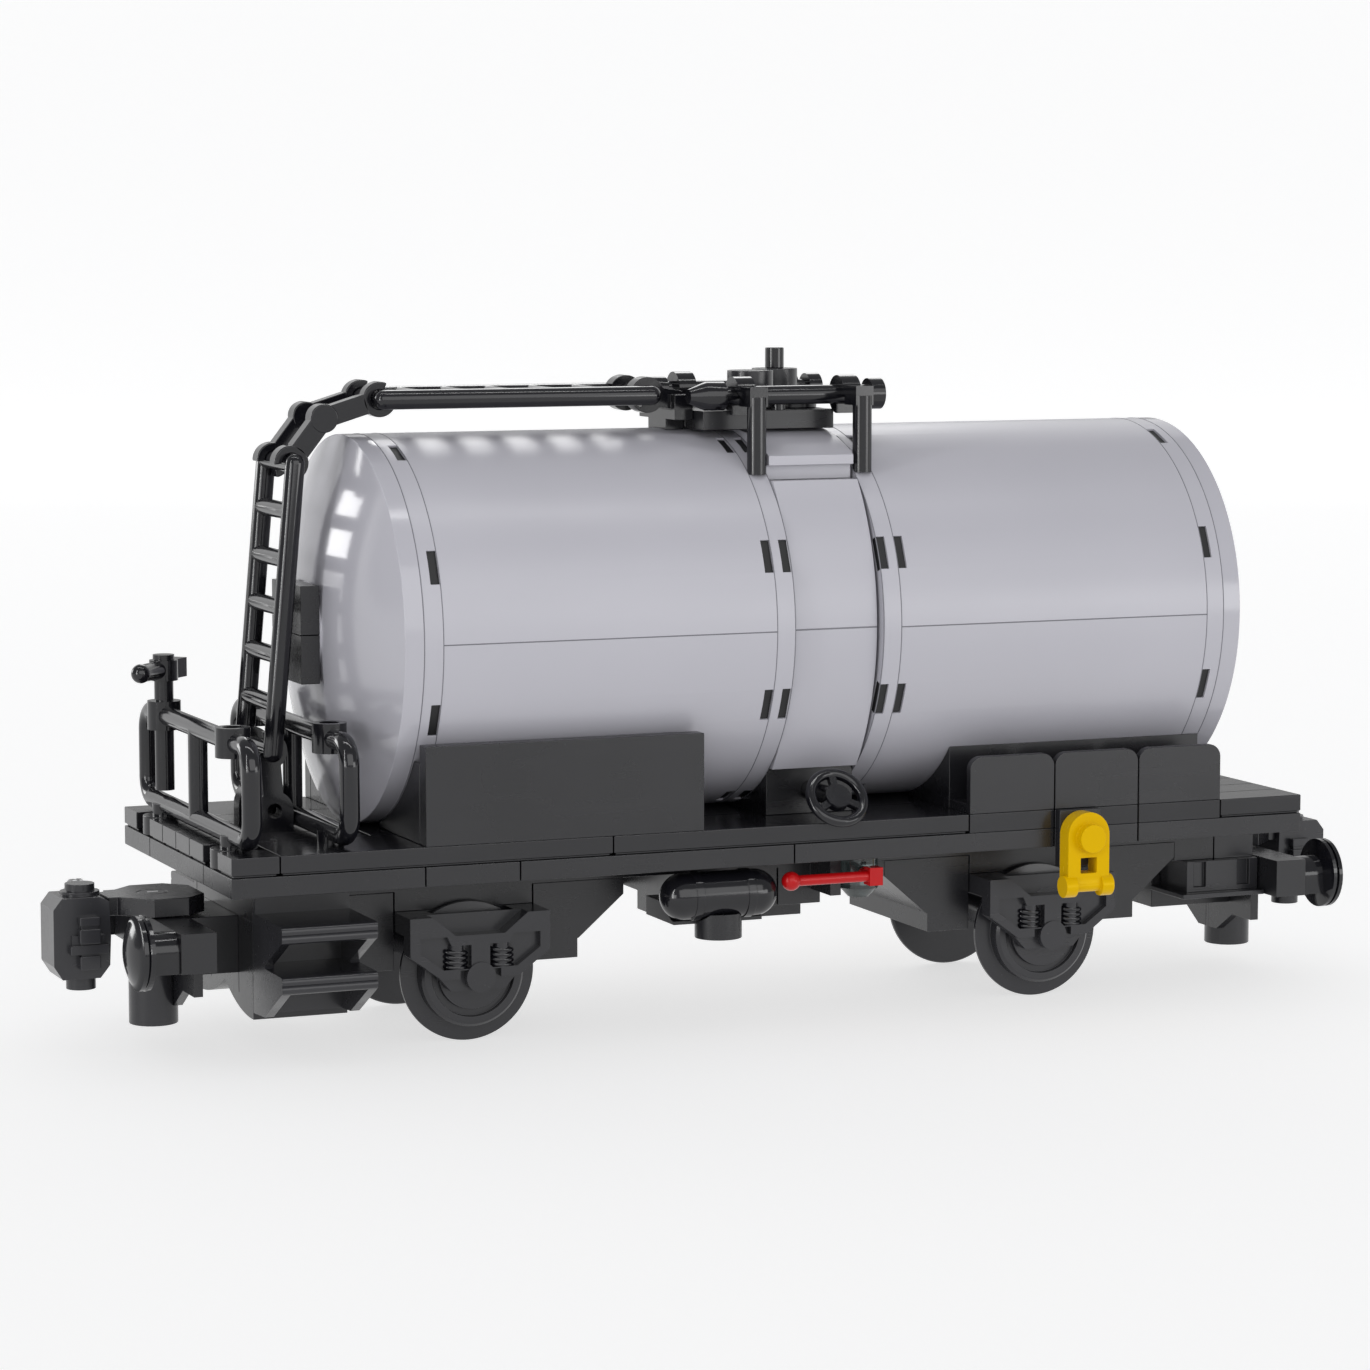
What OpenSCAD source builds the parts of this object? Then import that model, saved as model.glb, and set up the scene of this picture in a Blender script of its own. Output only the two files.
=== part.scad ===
// Tank wagon of a brick-built construction toy: two axles, magnet couplers.
// Everything is laid out on the 8 mm stud grid, in deck coordinates:
// X from the left deck end, Y from the near deck edge, Z from the deck underside.

/* [Grid] */
// Distance between studs
pitch = 8; // [7.5:0.1:8.5]
// Height of one plate layer
plate = 3.2; // [3:0.05:3.4]
// Clearance on each side face of a brick
gap = 0.1; // [0.05:0.05:0.2]
// Radius of the toy's standard bar
bar_r = 1.6; // [1.5:0.05:1.7]
// Radius of a stud
stud_r = 2.4; // [2.3:0.05:2.5]
// Height of a stud
stud_h = 1.7; // [1.5:0.1:1.8]

/* [Deck] */
// Deck length
deck_len = 192; // [160:16:256]
// Deck width
deck_wid = 64; // [64:16:96]

/* [Tank] */
// Tank radius
tank_r = 32; // [24:0.5:34]
// Depth of the rounded tank end beyond its rim
dome_h = 6.4; // [3:0.1:9]
// Distance from the deck centre to the tank centre
tank_shift = 8; // [0:1:10]
// Length of the middle section between the rings
mid_len = 16; // [16:8:24]
// Length of each barrel section
barrel_len = 57.6; // [40:0.4:60]

/* [Running gear] */
// Distance between the axles
wheelbase = 104; // [88:8:112]
// Axle centre below the deck underside
axle_drop = 16.6; // [15.5:0.1:18]
// Flange radius of the wheels
flange_r = 11.5; // [10.5:0.1:12]
// Tread radius of the wheels
tread_r = 8.8; // [8:0.1:10]
// Radius of the axle journals
journal_r = 1.5; // [1:0.05:1.8]
// Running clearance around journals and coupler pins
run_clear = 0.05; // [0.02:0.01:0.1]

/* [Couplers] */
// Coupler pin outside the deck end
pin_out = 4; // [3:0.5:6]
// Radius of the coupler pin
pin_r = 2.4; // [2:0.05:2.6]
// Front face of the coupler head outside the deck end
head_out = 21.4; // [20:0.1:24]
// Radius of the buffer discs
buffer_r = 6; // [5:0.1:7]

/* [Ladders] */
// Distance between ladder rail centres
ladder_wid = 16; // [14:0.5:20]
// Distance between ladder rungs
rung_step = 8; // [7:0.1:8]
// Lean of the end ladder from upright, in degrees
ladder_lean = 5.2; // [2:0.1:8]

/* [Hidden] */
$fn = 64;

brick = 3 * plate;
deck_top = 2 * plate;
deck_z = axle_drop + flange_r;
mid_x = deck_len / 2;
mid_y = deck_wid / 2;
tank_x = mid_x + tank_shift;
tank_z = deck_top + tank_r;
ring_in = tank_x - mid_len / 2;
barrel_r_x = tank_x + mid_len / 2 + plate;
ring_l = ring_in - plate - barrel_len - plate;
ring_r = barrel_r_x + barrel_len;
ladder_len = 6 * rung_step + 2;
top_ladder_z = 76.2;
rail_y = 12.8;

GREY = [0.60, 0.62, 0.65];
BLACK = [0.06, 0.06, 0.07];
RED = [0.75, 0.05, 0.05];
YELLOW = [0.93, 0.75, 0.03];
CLEAR = [0.35, 0.40, 0.38];

// ---------- placing ----------
module on_deck() translate([-mid_x, -mid_y, deck_z]) children();

module both_sides() {
    children();
    translate([0, deck_wid, 0]) mirror([0, 1, 0]) children();
}

module both_ends() {
    children();
    translate([deck_len, 0, 0]) mirror([1, 0, 0]) children();
}

// A brick-like block with the side clearance taken off
module block(x, y, z, l, w, h)
    translate([x + gap, y + gap, z]) cube([l - 2 * gap, w - 2 * gap, h]);

// Cylinder along X, Y or a YZ/XZ profile pushed along its normal
module along_x(x, y, z, l, r) translate([x, y, z]) rotate([0, 90, 0]) cylinder(h = l, r = r);
module along_y(x, y, z, l, r) translate([x, y, z]) rotate([-90, 0, 0]) cylinder(h = l, r = r);
module upright(x, y, z, h, r) translate([x, y, z]) cylinder(h = h, r = r);
module profile_yz(x, l) translate([x, 0, 0]) rotate([90, 0, 90]) linear_extrude(l) children();
module profile_xz(y, w) translate([0, y + w, 0]) rotate([90, 0, 0]) linear_extrude(w) children();

// Bar along X with rounded ends, given by its full length
module capsule_x(x, y, z, l, r) translate([x, y, z]) rotate([0, 90, 0]) rotate_extrude() {
    translate([0, r]) square([r, l - 2 * r]);
    for (h = [r, l - r]) translate([0, h]) intersection() {
        circle(r);
        translate([0, -r]) square([r, 2 * r]);
    }
}

// ---------- deck ----------
lower_cuts = [0, 32, 48, 96, 144, 160, 192] * (deck_len / 192);
module deck_lower_plates() color(BLACK) on_deck() {
    both_sides() for (i = [0:5])
        block(lower_cuts[i], 0, 0, lower_cuts[i + 1] - lower_cuts[i], 2 * pitch, plate);
    for (i = [0:1])
        block(i * mid_x, 2 * pitch, 0, mid_x, deck_wid - 4 * pitch, plate);
}

foot_y = 12;
fence_x = 4;
module deck_upper_plates() color(BLACK) on_deck() {
    both_sides() for (i = [0:2])
        block(deck_len - 64 + i * 16, 0, plate, 16, 2 * pitch, plate);
    block(28, 2 * pitch, plate, deck_len - 44, deck_wid - 4 * pitch, plate);
    both_sides() upright(fence_x, foot_y, plate, plate, 3.8);
}

groove = 0.4;
module tile(x, y, l, w) {
    block(x, y, plate + groove, l, w, plate - groove);
    translate([x + gap + groove, y + gap + groove, plate])
        cube([l - 2 * (gap + groove), w - 2 * (gap + groove), groove]);
}

module deck_tiles() color(BLACK) on_deck() {
    both_sides() {
        tile(0, 0, pitch, pitch);
        tile(pitch, 0, deck_len / 3 - pitch, 2 * pitch);
        tile(deck_len / 3, 0, deck_len / 3, 2 * pitch);
        for (i = [0:3]) tile(deck_len - 16, i * pitch, 16, pitch);
    }
    for (i = [2:5]) tile(0, i * pitch, 28, pitch);
}

// ---------- sides of the deck ----------
module side_tiles() color(BLACK) on_deck() both_sides()
    block(32, 0, deck_top, 48, plate + gap, 2 * pitch);

panel_h = brick;
panel_round = 2.2;
module panel_front(l) {
    square([l, panel_h - panel_round]);
    translate([panel_round, 0]) square([l - 2 * panel_round, panel_h]);
    for (x = [panel_round, l - panel_round])
        translate([x, panel_h - panel_round]) circle(panel_round);
}

module side_panels() color(BLACK) on_deck() both_sides()
    for (i = [0:2]) translate([deck_len - 64 + 16 * i + gap, gap, deck_top]) {
        profile_xz(0, 1.5) panel_front(16 - 2 * gap);
        cube([16 - 2 * gap, pitch - 2 * gap, plate / 2]);
    }

module tank_space(r) along_x(0, mid_y, tank_z, deck_len, r);
module saddle_bricks() color(BLACK) on_deck() difference() {
    both_sides() {
        block(32, plate, deck_top, 48, 2 * pitch + 4.8, 13);
        block(deck_len - 64, pitch, deck_top, 48, 2 * pitch, 13);
    }
    tank_space(tank_r + gap);
}

// ---------- tank ----------
notch_w = 5.6;
notch_d = 1.6;
module notches(x) for (k = [0:7])
    translate([x, mid_y, tank_z]) rotate([22.5 + 45 * k, 0, 0])
        translate([-notch_d, -notch_w / 2, tank_r - notch_d])
            cube([2 * notch_d, notch_w, 2 * notch_d]);

module barrel(x) difference() {
    along_x(x, mid_y, tank_z, barrel_len, tank_r);
    translate([x - 1, mid_y - gap, tank_z - tank_r - 1])
        cube([barrel_len + 2, 2 * gap, 2 * tank_r + 2]);
    translate([x - 1, mid_y - tank_r - 1, tank_z - gap])
        cube([barrel_len + 2, 2 * tank_r + 2, 2 * gap]);
    notches(x < tank_x ? x + barrel_len : x);
}

module tank_barrel_left() color(GREY) on_deck() barrel(ring_l + plate);
module tank_barrel_right() color(GREY) on_deck() barrel(barrel_r_x);

module ring(x, notch_x) difference() {
    along_x(x, mid_y, tank_z, plate, tank_r);
    notches(notch_x);
}
module tank_rings() color(GREY) on_deck() {
    ring(ring_l, ring_l + plate);
    ring(ring_in - plate, ring_in);
    ring(ring_in + mid_len, ring_in + mid_len);
    ring(ring_r, ring_r);
}

cap_r = (pow(tank_r, 2) + pow(dome_h, 2)) / (2 * dome_h);
module dome() {
    rotate_extrude($fn = 128) {
        square([tank_r, plate]);
        intersection() {
            translate([0, plate + dome_h - cap_r]) circle(cap_r, $fn = 720);
            square([tank_r, plate + dome_h]);
        }
    }
    cylinder(h = plate + dome_h, r = pitch);
}
module tank_dome_left() color(GREY) on_deck()
    translate([ring_l, mid_y, tank_z]) rotate([0, -90, 0]) dome();
module tank_dome_right() color(GREY) on_deck()
    translate([ring_r + plate, mid_y, tank_z]) rotate([0, 90, 0]) dome();

// ---------- middle section with the valves ----------
side_in = 1.6;
side_face = mid_y - tank_r + side_in;
core_y = side_face + brick;
mid_low = tank_z - 3 * pitch;
mid_high = tank_z + 3 * pitch;
top_lip = 64.8;
tank_top = tank_z + tank_r;
module middle_bricks() color(BLACK) on_deck() {
    block(ring_in, core_y + 0.8, deck_top, mid_len, deck_wid - 2 * (core_y + 0.8), mid_low - deck_top);
    block(ring_in, core_y, mid_low, mid_len, deck_wid - 2 * core_y, mid_high - mid_low);
}

side_arc = (pow(3 * pitch, 2) + pow(pitch, 2)) / (2 * pitch);
module side_curve() intersection() {
    translate([side_face, tank_z + gap]) square([brick, 3 * pitch - gap]);
    translate([side_face + side_arc, tank_z]) circle(side_arc, $fn = 240);
}
module middle_side_panels() color(GREY) on_deck() both_sides()
    profile_yz(ring_in + gap, mid_len - 0.6) {
        side_curve();
        translate([0, 2 * tank_z]) mirror([0, 1]) side_curve();
    }

slope_run = 2 * pitch;
slope_rise = tank_top - top_lip - plate / 2;
slope_arc = (pow(slope_run, 2) + pow(slope_rise, 2)) / (2 * slope_rise);
module middle_top_slopes() color(GREY) on_deck() both_sides()
    profile_yz(ring_in + gap, mid_len - 0.6) {
        translate([core_y + 1.2, mid_high]) square([mid_y - core_y - 1.2 - gap, top_lip - mid_high]);
        translate([core_y, top_lip]) square([mid_y - core_y - gap, plate / 2]);
        intersection() {
            translate([core_y, top_lip]) square([mid_y - core_y - gap, tank_top - top_lip]);
            union() {
                translate([core_y + slope_run, tank_top - slope_arc]) circle(slope_arc, $fn = 240);
                translate([core_y + slope_run, top_lip]) square([mid_y, tank_top - top_lip]);
            }
        }
    }

valve_x = tank_x;
valve_z = 10.4;
wheel_y = 1;
hand_r = 5.5;
hand_tilt = 38;
module valve_bars() color(BLACK) on_deck() both_sides()
    along_y(valve_x, wheel_y + 1.2, valve_z, core_y + 0.8 - wheel_y - 1.2 + gap, bar_r);

module handwheel() {
    rotate_extrude() translate([hand_r - 0.9, 0]) circle(0.9, $fn = 24);
    cylinder(h = 1.6, r = 2.2, center = true);
    for (k = [0:2]) rotate([0, 0, 90 + 120 * k])
        translate([0, -0.6, -0.5]) cube([hand_r - 0.9, 1.2, 1]);
}
module valve_handwheels() color(BLACK) on_deck() both_sides()
    difference() {
        translate([valve_x, wheel_y, valve_z]) rotate([90 - hand_tilt, 0, 0]) handwheel();
        along_y(valve_x, wheel_y + 1.2, valve_z, core_y, bar_r);
    }

// ---------- hatch on top ----------
hatch_y = mid_y - 12;
hatch_x = tank_x - 16;
hatch_top = tank_top + plate;
module hatch_base() color(BLACK) on_deck()
    for (i = [0:2]) block(hatch_x, hatch_y + i * pitch, tank_top, 24, pitch, plate);

module hatch_domes() color(BLACK) on_deck()
    for (x = [tank_x - 4, tank_x + 4], y = [mid_y - 4, mid_y + 4])
        upright(x, y, hatch_top, x < tank_x == (y < mid_y) ? 2 * plate : plate, 3.9);

hatch_pin_top = 83.5;
module hatch_pin() color(BLACK) on_deck()
    upright(tank_x + 4, mid_y + 4, hatch_top + 2 * plate, hatch_pin_top - hatch_top - 2 * plate, bar_r);

rail_z = 76.1;
rail_l = 88;
rail_len = 4 * pitch;
module hatch_rail() {
    along_x(rail_l, mid_y - rail_y, rail_z, rail_len, bar_r);
    along_x(rail_l, mid_y - rail_y, rail_z, plate, stud_r);
    translate([rail_l, mid_y - rail_y, rail_z]) rotate([0, -90, 0]) cylinder(h = 3, r1 = stud_r, r2 = 1.2);
    along_x(rail_l + rail_len - 2.4, mid_y - rail_y, rail_z, 2.4, 2.6);
    upright(rail_l + 14, mid_y - rail_y + 1.6, hatch_top, rail_z - hatch_top, 1.2);
}
module hatch_rails() color(BLACK) on_deck() both_sides() hatch_rail();

// Slack between a clip and the bar it grips
fit = 0.03;
claw_out = 3.2;
module claw_ring(hole) difference() {
    circle(claw_out);
    circle(hole);
    rotate(45) square([claw_out + 1, claw_out + 1]);
}
leg_y = 12.4;
module rail_claw(x) {
    profile_yz(x - bar_r, 2 * bar_r) translate([mid_y - rail_y, rail_z])
        rotate(135) claw_ring(bar_r);
    difference() {
        upright(x, leg_y, tank_top - 7, rail_z - tank_top + 7, bar_r);
        tank_space(tank_r);
        along_x(x - 3, mid_y - rail_y, rail_z, 6, bar_r + 0.4);
    }
    profile_yz(x - bar_r, 2 * bar_r)
        translate([leg_y - 1, rail_z - bar_r]) square([4.6, plate]);
}
module rail_claws() color(BLACK) on_deck() both_sides() difference() {
    for (x = [ring_in - bar_r, ring_in + mid_len + bar_r]) rail_claw(x);
    along_x(rail_l - 1, mid_y - rail_y, rail_z, rail_len + 2, bar_r + fit);
    translate([hatch_x, hatch_y, tank_top]) cube([24, 4, plate + fit]);
}

// ---------- ladders ----------
module ladder() {
    for (y = [-ladder_wid / 2, ladder_wid / 2]) {
        capsule_x(0, y, 0, ladder_len, bar_r);
    }
    for (k = [0:6]) translate([1 + k * rung_step + 0.6 * (3 - k) / 3, -ladder_wid / 2, 0])
        rotate([-90, 0, 0]) cylinder(h = ladder_wid, r = k == 0 || k == 6 ? 1.5 : bar_r - 0.2);
}
top_ladder_x = 32;
foot_x = 14.1;
foot_z = 18;
module top_ladder() color(BLACK) on_deck()
    translate([top_ladder_x, mid_y, top_ladder_z]) ladder();
module end_ladder() color(BLACK) on_deck()
    translate([foot_x, mid_y, foot_z]) rotate([0, ladder_lean - 90, 0]) ladder();

end_bar = [foot_x + 48.4 * sin(ladder_lean), foot_z + 48.4 * cos(ladder_lean)];
top_bar = [top_ladder_x + 1.6, top_ladder_z];
knuckle = [25, 74];
arm_t = 2.4;
module arm(a, b, w) {
    turn = atan2(b[1] - a[1], b[0] - a[0]);
    translate(a) rotate(turn) translate([0, -w / 2])
        square([sqrt(pow(b[0] - a[0], 2) + pow(b[1] - a[1], 2)), w]);
}
link_y = 4.8;
module ladder_links() color(BLACK) on_deck()
    for (y = [mid_y - link_y, mid_y + link_y]) profile_xz(y - 1.5, 3) difference() {
        union() {
            translate(knuckle) circle(3.4);
            translate(end_bar) circle(3);
            translate(top_bar) circle(3);
            arm(end_bar, knuckle, arm_t);
            arm(top_bar, knuckle, arm_t);
        }
        translate(end_bar) circle(1.5 + fit);
        translate(top_bar) circle(1.5 + fit);
        translate(end_bar) rotate(150) square([4, 2.2]);
        translate(top_bar) rotate(-60) square([4, 2.2]);
    }

rest_bar = [top_ladder_x + 48.4, top_ladder_z];
rest_x = 85;
module ladder_rest() color(BLACK) on_deck() {
    for (y = [mid_y - link_y, mid_y + link_y]) profile_xz(y - 1.5, 3) difference() {
        union() {
            translate(rest_bar) circle(3);
            arm(rest_bar, [rest_x + 1.5, rest_bar[1] - 1], plate);
        }
        translate(rest_bar) circle(1.5 + fit);
        translate(rest_bar) rotate(150) square([4, 2.4]);
    }
    block(rest_x - 0.5, mid_y - pitch, tank_top + 1.6, 3.5, 2 * pitch, rest_bar[1] - tank_top - 1.6);
    difference() {
        block(rest_x - 0.5, mid_y - 4, tank_top - 1, 3.5, pitch, plate);
        tank_space(tank_r + fit);
    }
}

foot_bar = [foot_x + 1.6 * sin(ladder_lean), foot_z + 1.6 * cos(ladder_lean)];
foot_lug = [15, deck_top + 3.4];
module ladder_foot() color(BLACK) on_deck() {
    for (y = [mid_y - link_y, mid_y + link_y]) profile_xz(y - 1.5, 3) difference() {
        union() {
            translate(foot_bar) circle(3);
            translate(foot_lug) circle(3.2);
            translate([foot_lug[0] - 3.2, deck_top]) square([6.4, 3.4]);
            arm(foot_bar, foot_lug, 3.4);
        }
        translate(foot_bar) circle(1.5 + fit);
        translate(foot_bar) rotate(100) square([4, 2.4]);
        translate(foot_lug) circle(1.2);
    }
    block(foot_lug[0] - 1.2, mid_y - link_y, foot_lug[1] + 1, 2.4, 2 * link_y, 2);
}

cap_end = ring_l - plate - dome_h;
rest_rung = [foot_x + 19 * sin(ladder_lean) - 0.2, foot_z + 17.2];
module dome_bracket() color(BLACK) on_deck() {
    block(cap_end - plate - gap, mid_y - pitch, tank_z - pitch, plate + 2 * gap, 2 * pitch, pitch - gap);
    block(cap_end - plate - gap, mid_y - pitch, tank_z, plate + 2 * gap, 2 * pitch, pitch);
}

// ---------- brake platform ----------
fence_h = 2 * brick;
loop_r = 3.6;
module tube_bend(y, z, turn) translate([0, y, z]) rotate([turn, 0, 0]) rotate([0, 90, 0])
    rotate_extrude(angle = 90) translate([loop_r, 0]) circle(bar_r);
module fence() {
    lo = bar_r + 0.3;
    hi = fence_h - 2.4;
    y0 = 1.8;
    y1 = deck_wid - 1.8;
    for (z = [lo, hi]) translate([0, y0 + loop_r, z]) rotate([-90, 0, 0])
        cylinder(h = y1 - y0 - 2 * loop_r, r = bar_r);
    for (y = [y0, y1]) translate([0, y, lo + loop_r]) cylinder(h = hi - lo - 2 * loop_r, r = bar_r);
    tube_bend(y0 + loop_r, lo + loop_r, 270);
    tube_bend(y1 - loop_r, lo + loop_r, 0);
    tube_bend(y0 + loop_r, hi - loop_r, 180);
    tube_bend(y1 - loop_r, hi - loop_r, 90);
    translate([0, mid_y, lo]) cylinder(h = hi - lo, r = bar_r);
    for (y = [foot_y, deck_wid - foot_y]) {
        translate([0, y, hi - 2.4]) cylinder(h = 4.8, r = 2.8);
        translate([0, y, 0]) cylinder(h = lo, r = 2.2);
    }
}
module fence_at(x) difference() {
    translate([x, 0, deck_top]) fence();
    for (y = [foot_y, deck_wid - foot_y])
        upright(x, y, deck_top + fence_h - 5, 6, bar_r);
}
module platform_fence_outer() color(BLACK) on_deck() fence_at(fence_x);
module platform_fence_inner() color(BLACK) on_deck() fence_at(fence_x + 2 * pitch);

crank_z = 29;
crank_y = deck_wid - foot_y;
module brake_crank() color(BLACK) on_deck() {
    upright(fence_x, crank_y, deck_top + 4.2, crank_z - deck_top - 4.2, bar_r);
    upright(fence_x, crank_y, crank_z, 3.4, 2.4);
    upright(fence_x, crank_y, crank_z + 3.4, 0.9, 1.8);
    translate([fence_x, crank_y, crank_z + 1.8]) rotate([0, 0, 225]) {
        rotate([0, 90, 0]) cylinder(h = 7.6, r = 1.5);
        translate([7.6, 0, 0]) sphere(1.6);
        translate([-5.2, -1.5, -1.6]) cube([4, 3, 3.2]);
    }
}

// ---------- underframe ----------
holder_w = 24;
axle_l = mid_x - wheelbase / 2;
axle_r = mid_x + wheelbase / 2;
wall_lip = 2.7;
core_l = 24;
module slope_wall(x, run) translate([x, 0, 0]) mirror([run < 0 ? 1 : 0, 0, 0])
    profile_xz(2 * pitch + gap, deck_wid - 4 * pitch - 2 * gap) polygon([
        [0, -plate], [2 * pitch, -plate], [2 * pitch, -plate - wall_lip],
        [pitch, -4 * plate], [0, -4 * plate]
    ]);
module cross_plate(x, z, l, h = plate) block(x, 2 * pitch, z, l, deck_wid - 4 * pitch, h);
module underframe_plates() color(BLACK) on_deck() {
    cross_plate(pitch, -plate, deck_len - 2 * pitch);
    cross_plate(pitch, -2 * plate - 0.2, 2 * pitch, plate + 0.2);
    cross_plate(deck_len - 2 * pitch, -2 * plate - 0.2, pitch, plate + 0.2);
    for (x = [axle_l, axle_r]) cross_plate(x - holder_w / 2, -2 * plate, holder_w);
    cross_plate(mid_x - core_l / 2, -brick, 2 * pitch, 2 * plate);
    cross_plate(mid_x + core_l / 2 - pitch, -brick, pitch, 2 * plate);
    block(mid_x - core_l / 2, 3 * pitch, -4 * plate, core_l, deck_wid - 6 * pitch, plate);
    both_sides() block(mid_x + 10, pitch, -2 * plate - 0.8, 2.2, pitch + 2 * gap, 2 * plate + 0.8);
}

module axle_walls() color(BLACK) on_deck() {
    cross_plate(axle_l - holder_w / 2 - pitch, -4 * plate, pitch, brick);
    slope_wall(axle_l + holder_w / 2 + gap, 1);
    slope_wall(axle_r - holder_w / 2 - gap, -1);
    slope_wall(axle_r + holder_w / 2 + gap, 1);
    for (x = [axle_l, axle_r], dx = [-holder_w / 2 - pitch, holder_w / 2])
        cross_plate(x + dx, -5 * plate, pitch);
}

side_face_y = 8;
side_back_y = 11.2;
module guard_back() polygon([
    [-12, 0], [-8.2, 0], [-4.2, -3.2], [4.2, -3.2], [8.2, 0], [12, 0],
    [12, -6.3], [6.6, -10.3], [4.6, -12.5], [-4.6, -12.5], [-6.6, -10.3], [-12, -6.3]
]);
module guard_pocket() polygon([
    [1.6, -4.8], [5, -4.8], [5.7, -3.3], [10.3, -3.3], [10.3, -5.8], [6.3, -8.7], [1.6, -8.7]
]);
module guard_rim() difference() {
    guard_back();
    guard_pocket();
    mirror([1, 0]) guard_pocket();
    translate([-3.5, -14]) square([7, 5.1]);
    translate([-12, -14]) square([24, 3.7]);
}
spring_x = 3.9;
module axle_guard(x) difference() {
    union() {
        translate([x, 0, -2 * plate]) {
            profile_xz(side_back_y - 1.9, 1.9) guard_back();
            profile_xz(side_face_y, 1.4) guard_rim();
        }
        for (dx = [-spring_x, spring_x])
            upright(x + dx, side_face_y + 1.3, -2 * plate - 8.7, 3.9, 1.3);
        along_y(x, side_face_y - 0.3, -axle_drop, side_back_y - side_face_y + 0.3, 2.5);
        for (dx = [-holder_w / 2, holder_w / 2 - 2])
            translate([x + dx, side_face_y, -brick])
                cube([2, side_back_y - side_face_y, plate]);
    }
    along_y(x, side_face_y + 0.9, -axle_drop, 4, journal_r + run_clear);
}
module axle_holder(x) {
    both_sides() axle_guard(x);
    difference() {
        translate([x - 12, side_back_y - 0.1, -brick])
            cube([holder_w, deck_wid - 2 * side_back_y + 0.2, plate]);
        both_sides() along_y(x, side_back_y, -axle_drop, 4.9, flange_r + 0.8);
    }
}
module axle_holder_left() color(BLACK) on_deck() axle_holder(axle_l);
module axle_holder_right() color(BLACK) on_deck() axle_holder(axle_r);

wheel_face = side_back_y + 0.4;
wheel_back = wheel_face + 4;
axle_core = 2.4;
module wheel(x) translate([x, wheel_face, -axle_drop]) rotate([-90, 0, 0]) rotate_extrude($fn = 96)
    polygon([
        [axle_core, 0], [tread_r - 2.9, 0], [tread_r - 2.9, 0.9], [tread_r - 1.7, 0.9],
        [tread_r - 1.7, 0], [tread_r - 0.5, 0], [tread_r, 0.5], [tread_r, 2.7], [flange_r, 3],
        [flange_r, 3.7], [flange_r - 0.3, 4], [axle_core, 4]
    ]);
module axle(x) {
    along_y(x, wheel_face, -axle_drop, deck_wid - 2 * wheel_face, axle_core);
    along_y(x, side_face_y + 1.2, -axle_drop, deck_wid - 2 * side_face_y - 2.4, journal_r);
}
module wheels_left() color(BLACK) on_deck() both_sides() wheel(axle_l);
module wheels_right() color(BLACK) on_deck() both_sides() wheel(axle_r);
module axle_left() color(BLACK) on_deck() axle(axle_l);
module axle_right() color(BLACK) on_deck() axle(axle_r);

// ---------- ends ----------
beam_z = -4 * plate;
beam_x = -6;
bracket_t = 1.5;
post_r = 4;
post_low = -24.7;
module bracket_outline() {
    translate([mid_y - 15.3, beam_z - 5.4]) square([30.6, 5.5]);
    polygon([
        [mid_y - 8.7, beam_z - 5.4], [mid_y - 3.2, beam_z - 8.8],
        [mid_y + 3.2, beam_z - 8.8], [mid_y + 8.7, beam_z - 5.4]
    ]);
}
module coupler_stacks() color(BLACK) on_deck() both_ends()
    for (i = [0:2])
        block(0, 3 * pitch, beam_z - plate + i * plate, 2 * pitch, 2 * pitch, plate - (i == 2 ? 0.2 : 0));

module buffer_beams() color(BLACK) on_deck() both_ends() difference() {
    union() {
        block(beam_x, pitch, beam_z, -beam_x, deck_wid - 2 * pitch, 2 * plate);
        difference() {
            profile_yz(-bracket_t, bracket_t) bracket_outline();
            upright(-pin_out, mid_y, post_low, beam_z - post_low, post_r + fit);
        }
    }
    upright(-pin_out, mid_y, beam_z - 1, 2 * plate + 2, pin_r + fit);
}

buffer_y = 12;
shank_x = -11.6;
module buffer() {
    profile_yz(shank_x, beam_x - shank_x + gap) {
        translate([buffer_y, beam_z + plate]) circle(plate);
        translate([buffer_y - plate, beam_z]) square([2 * plate, plate]);
    }
    translate([shank_x, buffer_y, beam_z + plate]) rotate([0, -90, 0]) {
        cylinder(h = 0.7, r = buffer_r);
        intersection() {
            translate([0, 0, 2.4 - 11.3]) sphere(11.3);
            cylinder(h = 3, r = buffer_r);
        }
    }
}
module buffers() color(BLACK) on_deck() both_ends() both_sides() buffer();

arm_z = -2 * plate + 0.2;
module coupler_pins() color(BLACK) on_deck() both_ends() {
    upright(-pin_out, mid_y, beam_z, arm_z - beam_z + plate - 0.2, pin_r);
    upright(-pin_out, mid_y, post_low, beam_z - post_low, post_r);
}

arm_end = -12;
module coupler_arm() difference() {
    union() {
        translate([0, 0, arm_z]) linear_extrude(plate - 0.2) {
            polygon([
                [0, mid_y - 8], [arm_end + 6.3, mid_y - 8], [arm_end + 1.4, mid_y - 3.1],
                [arm_end, mid_y - 3.1], [arm_end, mid_y + 3.1], [arm_end + 1.4, mid_y + 3.1],
                [arm_end + 6.3, mid_y + 8], [0, mid_y + 8],
                [3.5, mid_y + 4.5], [3.5, mid_y - 4.5]
            ]);
        }
    }
    upright(-pin_out, mid_y, arm_z - 1, plate + 2, pin_r + run_clear);
}

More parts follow.
